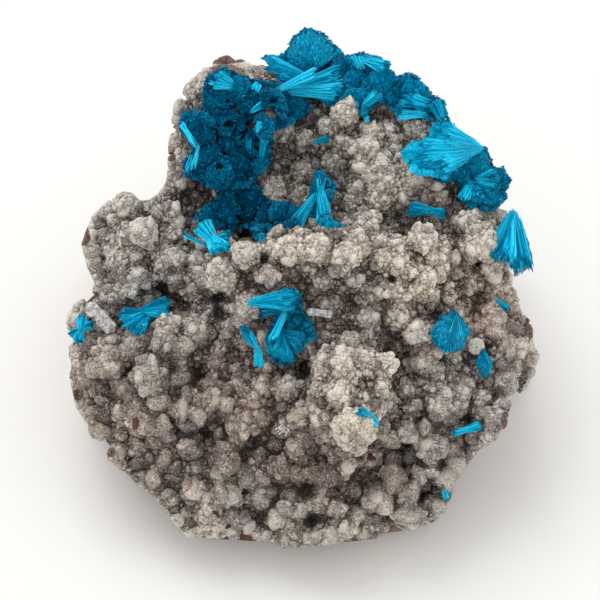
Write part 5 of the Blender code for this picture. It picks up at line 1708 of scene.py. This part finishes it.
def cavansite_sprays() -> list[Spray]:
    """Every blue cluster of the specimen, as the photograph shows them."""
    mid, bright, pale = BlueShading.MIDDLE, BlueShading.BRIGHT, BlueShading.PALE
    return [
        Spray("cavansite_crest_cluster", [
            Thicket(CREST, 1.6, (1.4, 3.6), 0.52),
            Fan((1.8, 42.8), ((-3, 46.2), (-2.4, 47.8), (-1.4, 49.8), (0.2, 51.2), (1.4, 51.8),
                (2.6, 51.4), (4.2, 50.7), (6.2, 48.8), (7.8, 47)), 4.4, 3, 72, False, 0.56),
            Sheaf((2.2, 42), (-6.8, 45.5), 5.2, 4.8, 3.6, 2.2, 0.84),
            Sheaf((0.8, 41.4), (-4.8, 43.4), 5.4, 5.2, 3, 2, 0.9),
            Sheaf((-5.4, 39.4), (4, 43.6), 4.4, 5.2, 2.4, 2, pale),
            Sheaf((-3.4, 39.8), (9, 39.4), 4.6, 5.4, 4, 2.4, 0.84),
            Sheaf((-1.6, 40.4), (9.4, 43.4), 4.4, 5.2, 4.4, 2.6, 0.7),
            Sheaf((1.4, 41.4), (-3.6, 44.6), 4.8, 4.8, 3.4, 2, 0.88),
            Sheaf((12, 43.6), (10.2, 46.8), 3.4, 3.6, 2.8, 1.6, 0.78),
            Sheaf((14.6, 41.4), (12.4, 38.6), 3.4, 3, 3, 2, 0.3),
            Sheaf((11.8, 36.6), (15.4, 39.8), 3.8, 4.2, 2.8, 2, 0.58),
            Sheaf((11.6, 46), (17, 43.8), 3.8, 4.2, 3.4, 2, 0.74),
            Sheaf((24.4, 35.2), (18, 35.2), 4, 3.8, 2.4, 2, 0.92),
            Sheaf((26.4, 36.4), (18.8, 38.6), 4, 4.4, 3.4, 2, 0.7),
            Sheaf((25.4, 33.8), (21.4, 37.2), 4.6, 4.8, 2, 1.6, pale),
            Sheaf((27.2, 34), (25.2, 38), 3.8, 3.8, 3, 2, 0.7),
        ]),
        Spray("cavansite_hollow_cluster", [
            Thicket(HOLLOW_TOP, 1.6, (1.4, 4), 0.38, ((-13.4, 37.8, 0.6), (-13.8, 33.3, 1.1),
                (-11, 31.2, 1), (-9.4, 33.3, 1.1), (-5.2, 35.8, 1.1), (-4.6, 38.2, 0.9), (-8.1, 28.7, 0.6),
                (-9.7, 23.1, 0.7), (-15.4, 25.4, 0.9))),
            Thicket(HOLLOW_FLOOR, 1.2, (1.6, 4.6), 0.34, ((-11, 15.4, 0.7), (-10.4, 12.4, 1.4))),
            Thicket(HOLLOW_SIDE, 1.8, (1, 2.4), 0.46),
            Sheaf((-12.6, 40.6), (-16.8, 42.6), 4.2, 3.8, 4.6, 2.2, 0.66),
            Sheaf((-13.4, 40.4), (-17.4, 41), 4.8, 4.2, 1.6, 1, 0.88),
            Sheaf((-9.2, 38.2), (-8, 41.8), 4, 4, 2.4, 1.6, 0.74),
            Sheaf((-9.6, 35.4), (-6.6, 37.6), 4, 4.2, 1.6, 1.4, 0.66),
            Sheaf((-8.4, 31.6), (-7.4, 34), 4.4, 4.4, 1.2, 1, 0.9),
            Sheaf((-7.4, 26.4), (-6.4, 31.8), 3.6, 3.6, 2, 1.6, 0.5),
            Sheaf((-9.6, 28), (-9.6, 32), 3.6, 3.6, 1.6, 1.4, 0.56),
            Sheaf((-19.8, 28.4), (-21.4, 35), 3.4, 3.2, 3, 2, 0.54),
            Sheaf((-19.2, 28), (-22.8, 34.2), 6.2, 5.8, 1.1, 1, 0.92),
            Sheaf((-19.6, 29), (-21, 23.6), 3.4, 3.2, 2.6, 1.8, 0.58),
            Sheaf((-19, 30), (-20.6, 24), 4.6, 4, 1, 0.8, 0.9),
            Sheaf((3.6, 22), (4.8, 14.6), 4.4, 4, 3.4, 2, 0.66),
            Sheaf((3.2, 20.4), (-1.2, 14), 4.2, 3.6, 2.8, 1.8, 0.56),
            Sheaf((4, 20), (4, 24.2), 3.2, 3, 2.4, 1.6, 0.46),
            Sheaf((3.8, 14.8), (8.8, 14), 3.4, 2.8, 1.6, 1.4, 0.56),
        ]),
        Spray("cavansite_hollow_bow_tie", [
            Sheaf((-16.4, 11), (-19.2, 14.8), 3, 3.2, 4.4, 2.6, 0.9),
            Sheaf((-17.4, 12.4), (-14.8, 8.9), 3, 3.2, 4.6, 2.6, 0.9),
            Sheaf((-16.8, 11.4), (-12.9, 12.4), 2.8, 3, 2.2, 1.8, 0.66),
            Sheaf((-16.4, 10.6), (-12.6, 9.8), 2.8, 3, 1.8, 1.6, 0.74),
            Sheaf((-17.2, 10), (-23.4, 13.2), 1.9, 1.9, 0.9, 1, mid),
        ]),
        Spray("cavansite_right_cluster", [
            # The right sheaf's very pale blue partly paints the light that falls on it: painted light.
            Thicket(RIGHT_SHEAF, 2, (1.2, 2.8), 0.9),
            Thicket(RIGHT_LOBE, 1.2, (1.2, 2.6), 0.4),
            Fan((34.4, 28.8), ((29.4, 32.6), (27.6, 33.4), (25.8, 33.2), (24.6, 31.6), (22.2, 29.9),
                (20, 28.9), (19.2, 27.8), (19.9, 26.4), (21.6, 25.2), (23.2, 24.4), (25.8, 24.1),
                (28.2, 24.9)), 5, 2.6, 32, False, 0.98),
            Sheaf((33.4, 28.8), (22, 28.4), 5.8, 5.8, 5.4, 2.2, 0.96),
            Sheaf((33.8, 29.6), (26.6, 32), 5.4, 5.2, 4.4, 2.2, 0.94),
            Sheaf((33, 28), (26, 25.6), 5.6, 5.4, 4, 2, 0.98),
            Fan((32.7, 22.8), ((30.2, 27.6), (33.4, 29), (35.5, 29), (37, 25.2), (38.8, 25.3),
                (40.3, 22.6), (39.1, 20.5), (39.3, 19.4), (37, 17), (34.4, 16.9), (32.3, 17.3), (30.4, 19),
                (30.2, 21.5), (28.4, 24)), 3.4, 3.2, 70, True, 0.5),
            Sheaf((32.7, 22.8), (30.8, 18.4), 4.8, 4.6, 2.8, 1.2, 0.7),
            Sheaf((32.7, 22.8), (37.4, 24.6), 5.4, 5.2, 1.6, 1, 0.72),
            Sheaf((32.7, 22.8), (38.6, 21.8), 5.2, 5.2, 2.6, 1.2, 0.56),
        ]),
        Spray("cavansite_edge_sheaf", [
            Fan((40.4, 16.8), ((36.4, 11.8), (35.4, 7.4), (37.3, 6.1), (39.2, 6), (40.3, 4.8), (41, 3.3),
                (42.6, 3.7), (44.6, 4.3), (44.4, 7.4), (43.4, 10.8), (42.3, 14.4)), 1.8, 1.6, 34, False,
                0.62),
            Sheaf((40.6, 17.4), (38, 7.2), 2.8, 3.8, 4.6, 2, 0.84),
            Sheaf((40.6, 16.6), (40.4, 6.4), 3.4, 3.4, 1.6, 1.2, 0.9),
            Sheaf((40.9, 17.6), (43.7, 4.8), 2.8, 1.6, 2.2, 1.4, 0.54),
        ]),
        Spray("cavansite_small_bow_tie", [
            Sheaf((25.4, 16.8), (20, 17.5), 1.8, 2.2, 3.5, 2.4, 0.6),
            Sheaf((23.8, 17), (28.2, 16.2), 1.8, 2, 2.3, 2, 0.56),
        ]),
        Spray("cavansite_top_sliver", [
            Sheaf((2, 29.6), (5.9, 30.8), 1.5, 1.7, 1.6, 1.4, 0.56),
        ]),
        Spray("cavansite_left_bow_tie", [
            Fan((-28.2, -2.2), ((-34.4, -1.2), (-35.2, -2.9), (-34.8, -5), (-33, -6.4), (-31.2, -7.5),
                (-29.6, -6.6), (-29, -4.4)), 2.2, 1.8, 40, False, 0.58),
            Fan((-30.2, -2.2), ((-26.8, 0.4), (-25.4, 0.9), (-23.9, 0), (-24.6, -2.2), (-24.8, -4),
                (-27, -3.4)), 2.2, 1.8, 40, False, 0.6),
        ]),
        Spray("cavansite_far_left_spray", [
            Sheaf((-41.6, -6.2), (-41.8, -2.4), 3.4, 3, 2.4, 1.8, 0.6),
            Sheaf((-41.4, -5.4), (-42.4, -8.6), 3.4, 3, 2.4, 1.8, 0.6),
            Sheaf((-42.4, -5.8), (-38.8, -4.6), 3.2, 3, 1.8, 1.6, 0.6),
            Sheaf((-41.2, -5.4), (-44, -7), 3.2, 3, 2.2, 1.6, 0.5),
            Sheaf((-41.4, -6.2), (-40, -3.2), 3.4, 3, 1.8, 1.4, 0.66),
        ]),
        Spray("cavansite_centre_cluster", [
            Thicket(CENTRE, 1.2, (0.6, 1.9), 0.44),
            Fan((-9.8, -0.6), ((-3.4, 1.9), (-1.9, 2.3), (-0.4, 2.1), (0.6, 0.8), (0.6, -0.9),
                (-0.6, -2.2)), 3.2, 1.4, 38, False, 0.66),
            Sheaf((-2.2, -0.8), (-5.9, -9.2), 4.2, 3.8, 1.9, 1.6, bright),
            Sheaf((-2.4, -2), (-8.2, -2.6), 3, 2.4, 2, 1.8, 0.42),
            Fan((-3.4, -6), ((-5.7, -10.4), (-4.4, -11.6), (-3, -12.2), (-1.6, -12.4), (-0.7, -12)), 3.4,
                1.8, 45, False, 0.56),
            Fan((-3.2, -6), ((-0.2, -10.4), (1.2, -9.2), (2.2, -7.8), (2, -6.2)), 3.2, 1.8, 45, False,
                0.56),
        ]),
        Spray("cavansite_centre_side_bow_tie", [
            Sheaf((-8, -9.4), (-11.4, -4.8), 2.6, 2.6, 2.5, 2, 0.52),
            Sheaf((-7.8, -9.4), (-9.6, -6), 3.2, 3, 0.8, 0.8, pale),
            Sheaf((-8.2, -8.4), (-7.6, -13.6), 2.6, 2.6, 2.3, 2, bright),
        ]),
        Spray("cavansite_right_fan", [
            Fan((29.4, -2.4), ((25.6, -4.6), (24.4, -6.6), (24.8, -8.6), (26.4, -9.7), (28.3, -11.2),
                (29.9, -10.6), (31, -9.9), (31.6, -8.4), (32.7, -6.3)), 2.2, 2, 50, False, 0.52),
            Sheaf((29.2, -4.2), (26.2, -3.4), 2.2, 2.2, 1.8, 1.6, 0.5),
        ]),
        Spray("cavansite_lower_right_fan", [
            Fan((34.8, -9.6), ((33.2, -12.2), (34, -14.2), (35.3, -15.6), (36.5, -14.6), (36.9, -12.6)),
                1.9, 1.3, 50, False, 0.5),
        ]),
        Spray("cavansite_right_sliver", [
            Sheaf((36.8, 0.8), (40, -2.4), 1.5, 1.5, 1.4, 1.2, 0.56),
        ]),
        Spray("cavansite_dome_streak", [
            Sheaf((13.8, -22.2), (10.4, -20.6), 1.4, 1.5, 1.8, 1.4, 0.66),
            Sheaf((13.2, -21.2), (14.8, -24.6), 1.4, 1.5, 1.6, 1.4, bright),
        ]),
        Spray("cavansite_low_bow_tie", [
            Sheaf((30, -25.2), (35.4, -23.4), 1.7, 1.9, 2.2, 1.8, 0.55),
            Sheaf((33.2, -24.2), (28, -25.8), 1.7, 1.7, 1.4, 1.3, 0.6),
        ]),
        Spray("cavansite_low_tuft", [
            Sheaf((27.3, -36), (28.2, -38.3), 1.4, 1.6, 1.8, 1.5, 0.55),
        ]),
    ]


@dataclass
class StilbiteBlade:
    """A clear blade that stands for its solid, with worn edges.

    Attributes:
        node: The solid that it stands for.
        wear: Width of the worn edges, in millimetres.
        steps: Depth of the growth steps on its faces, in millimetres.
    """

    node: str
    wear: float = 0.6
    steps: float = 0.16

    def build(self) -> bpy.types.Object:
        """Models the blade from its solid."""
        blade = merged_copy(self.node, self.node + "_crystal")
        bevel = blade.modifiers.new("worn edges", "BEVEL")
        bevel.width = self.wear * MM
        bevel.segments = 2
        bevel.limit_method = "ANGLE"
        bevel.angle_limit = math.radians(20.0)
        rounded = blade.modifiers.new("rounded", "SUBSURF")
        rounded.levels = 1
        rounded.render_levels = 1
        apply_modifiers(blade)
        points = points_of(blade.data)
        stepped = smooth_noise(points, 0.9 * MM, 5.0) * self.steps * MM
        set_points(blade.data, points + normals_of(blade.data) * stepped[:, None])
        return blade


@dataclass
class WhiteNeedles:
    """Fine white needles: the ball that stands for its solid, and a loose tuft on the crust.

    Attributes:
        node: The ball's solid.
        needles: How many needles the ball has.
        needle: Width of a needle, in millimetres.
        tufts: Small tufts, as (across, up, length, number of needles).
    """

    node: str = "white_zeolite_ball"
    needles: int = 900
    needle: float = 0.3
    tufts: list[tuple[float, float, float, int]] = field(default_factory=lambda: [
        (-2.9, -24.1, 1.9, 60), (-32.5, -23.2, 1.2, 34), (26.0, 13.7, 1.5, 14), (27.4, 11.4, 1.5, 14),
        (-20.5, -37.0, 1.1, 26), (-7.6, 33.4, 0.9, 16), (12.2, -43.0, 1.0, 20),
    ])

    def grow(self, middle: np.ndarray, ways: np.ndarray, long: np.ndarray, stamp: Stamp,
             rng: np.random.Generator) -> np.ndarray:
        """The vertices of needles that start at one point, in millimetres."""
        turns = turns_onto(ways, rng.random(len(ways)) * 2.0 * math.pi)
        widths = np.full(len(ways), self.needle / 2.0)
        local = stamp.points[None, :, :] * np.stack([widths, widths, long], axis=1)[:, None, :]
        return np.einsum("nij,nvj->nvi", turns, local) + middle

    def build(self, rng: np.random.Generator) -> bpy.types.Object:
        """Models the ball."""
        low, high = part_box(self.node)
        middle = np.array((low + high) / 2) / MM
        radius = min(high - low) / 2 / MM
        stamp = Stamp.needle(3, 0.9)
        ways = rng.normal(size=(self.needles, 3))
        ways /= np.linalg.norm(ways, axis=1, keepdims=True)
        shaped = self.grow(middle, ways, radius * rng.uniform(0.95, 1.12, len(ways)), stamp, rng)
        return mesh_object(self.node + "_needles", *stamp.set_down(shaped * MM))

    def build_tufts(self, crust: Skin, rng: np.random.Generator) -> bpy.types.Object:
        """Models the tufts on the crust."""
        stamp = Stamp.needle(4, 0.85)
        shaped = []
        for across, up, long, count in self.tufts:
            point, outward = crust.hit(across, up)
            ways = rng.normal(0.0, 0.55, (count, 3)) + np.array(outward)
            ways /= np.linalg.norm(ways, axis=1, keepdims=True)
            middle = np.array(point - outward * 0.4 * MM) / MM
            shaped.append(self.grow(middle, ways, long * rng.uniform(0.7, 1.2, count), stamp, rng))
        return mesh_object("white_needle_tufts", *stamp.set_down(np.concatenate(shaped) * MM))


@dataclass
class Studio:
    """The pale floor and the soft light of a table-top photograph."""

    floor_size: float = 4.0
    floor_colour: Hex = "e9e8e5"
    floor_light: float = 0.12
    room: float = 0.88
    key_power: float = 7.0
    key_size: float = 0.9
    key_place: tuple[float, float, float] = (-0.35, 0.55, 1.15)

    def build(self) -> None:
        """Makes the floor, the lights and the background."""
        clear_selection()
        bpy.ops.mesh.primitive_plane_add(size=self.floor_size)
        floor = bpy.context.object
        floor.name = "floor"
        material = bpy.data.materials.new("white card")
        material.use_nodes = True
        shader = material.node_tree.nodes["Principled BSDF"]
        shader.inputs["Base Color"].default_value = linear(self.floor_colour)
        shader.inputs["Roughness"].default_value = 0.9
        shader.inputs["Specular IOR Level"].default_value = 0.1
        shader.inputs["Emission Color"].default_value = linear(self.floor_colour)
        shader.inputs["Emission Strength"].default_value = self.floor_light
        floor.data.materials.append(material)
        world = bpy.data.worlds.new("soft room")
        world.use_nodes = True
        world.node_tree.nodes["Background"].inputs["Color"].default_value = (1.0, 1.0, 1.0, 1.0)
        world.node_tree.nodes["Background"].inputs["Strength"].default_value = self.room
        bpy.context.scene.world = world
        bpy.ops.object.light_add(type="AREA", location=self.key_place)
        key = bpy.context.object
        key.name = "soft box"
        key.data.energy = self.key_power
        key.data.size = self.key_size
        way = Vector(self.key_place) - Vector((0.0, 0.0, 0.03))
        key.rotation_mode = "QUATERNION"
        key.rotation_quaternion = way.to_track_quat("Z", "Y")
        bpy.context.scene.view_settings.view_transform = "Standard"


def main() -> None:
    """Builds the specimen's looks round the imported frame."""
    logging.basicConfig(level=logging.INFO, format="%(name)s: %(message)s")
    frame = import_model()
    VIEW.make_camera()
    Studio().build()
    names = sorted(frame["nodes"])
    sprays = Skin.of_nodes([name for name in names if name.startswith("cavansite")])
    rock = Skin.of_nodes(["zeolite_crust", "basalt_matrix"])
    rng = np.random.default_rng(5)

    matrix = BasaltMatrix()
    stone = BasaltFinish().make()
    hand_in(matrix.build(SILHOUETTE), stone, "basalt", "basalt_matrix")

    druse = ZeoliteFinish().make()
    pieces, crust = ZeoliteCrust(MASSES, SILHOUETTE).build(sprays)
    for piece in pieces:
        hand_in(piece, druse, "zeolite_crust", "zeolite_crust")
    fresh = BasaltFinish(stains=((0.34, "341b18"), (0.52, "58302a"), (0.68, "71463b")), film="5e3f36").make()
    hand_in(matrix.build_chips(crust, rng), fresh, "basalt", "basalt_matrix")

    blue = CavansiteFinish().make()
    for spray in cavansite_sprays():
        hand_in(spray.build(rock, rng), blue, "cavansite", spray.node)

    clear = StilbiteFinish().make()
    for node in [name for name in names if name.startswith("stilbite")]:
        hand_in(StilbiteBlade(node).build(), clear, "stilbite", node)
    white = WhiteNeedleFinish().make()
    needles = WhiteNeedles()
    hand_in(needles.build(rng), white, "white_zeolite", needles.node)
    hand_in(needles.build_tufts(crust, rng), white, "white_zeolite")


if __name__ == "__main__":
    main()
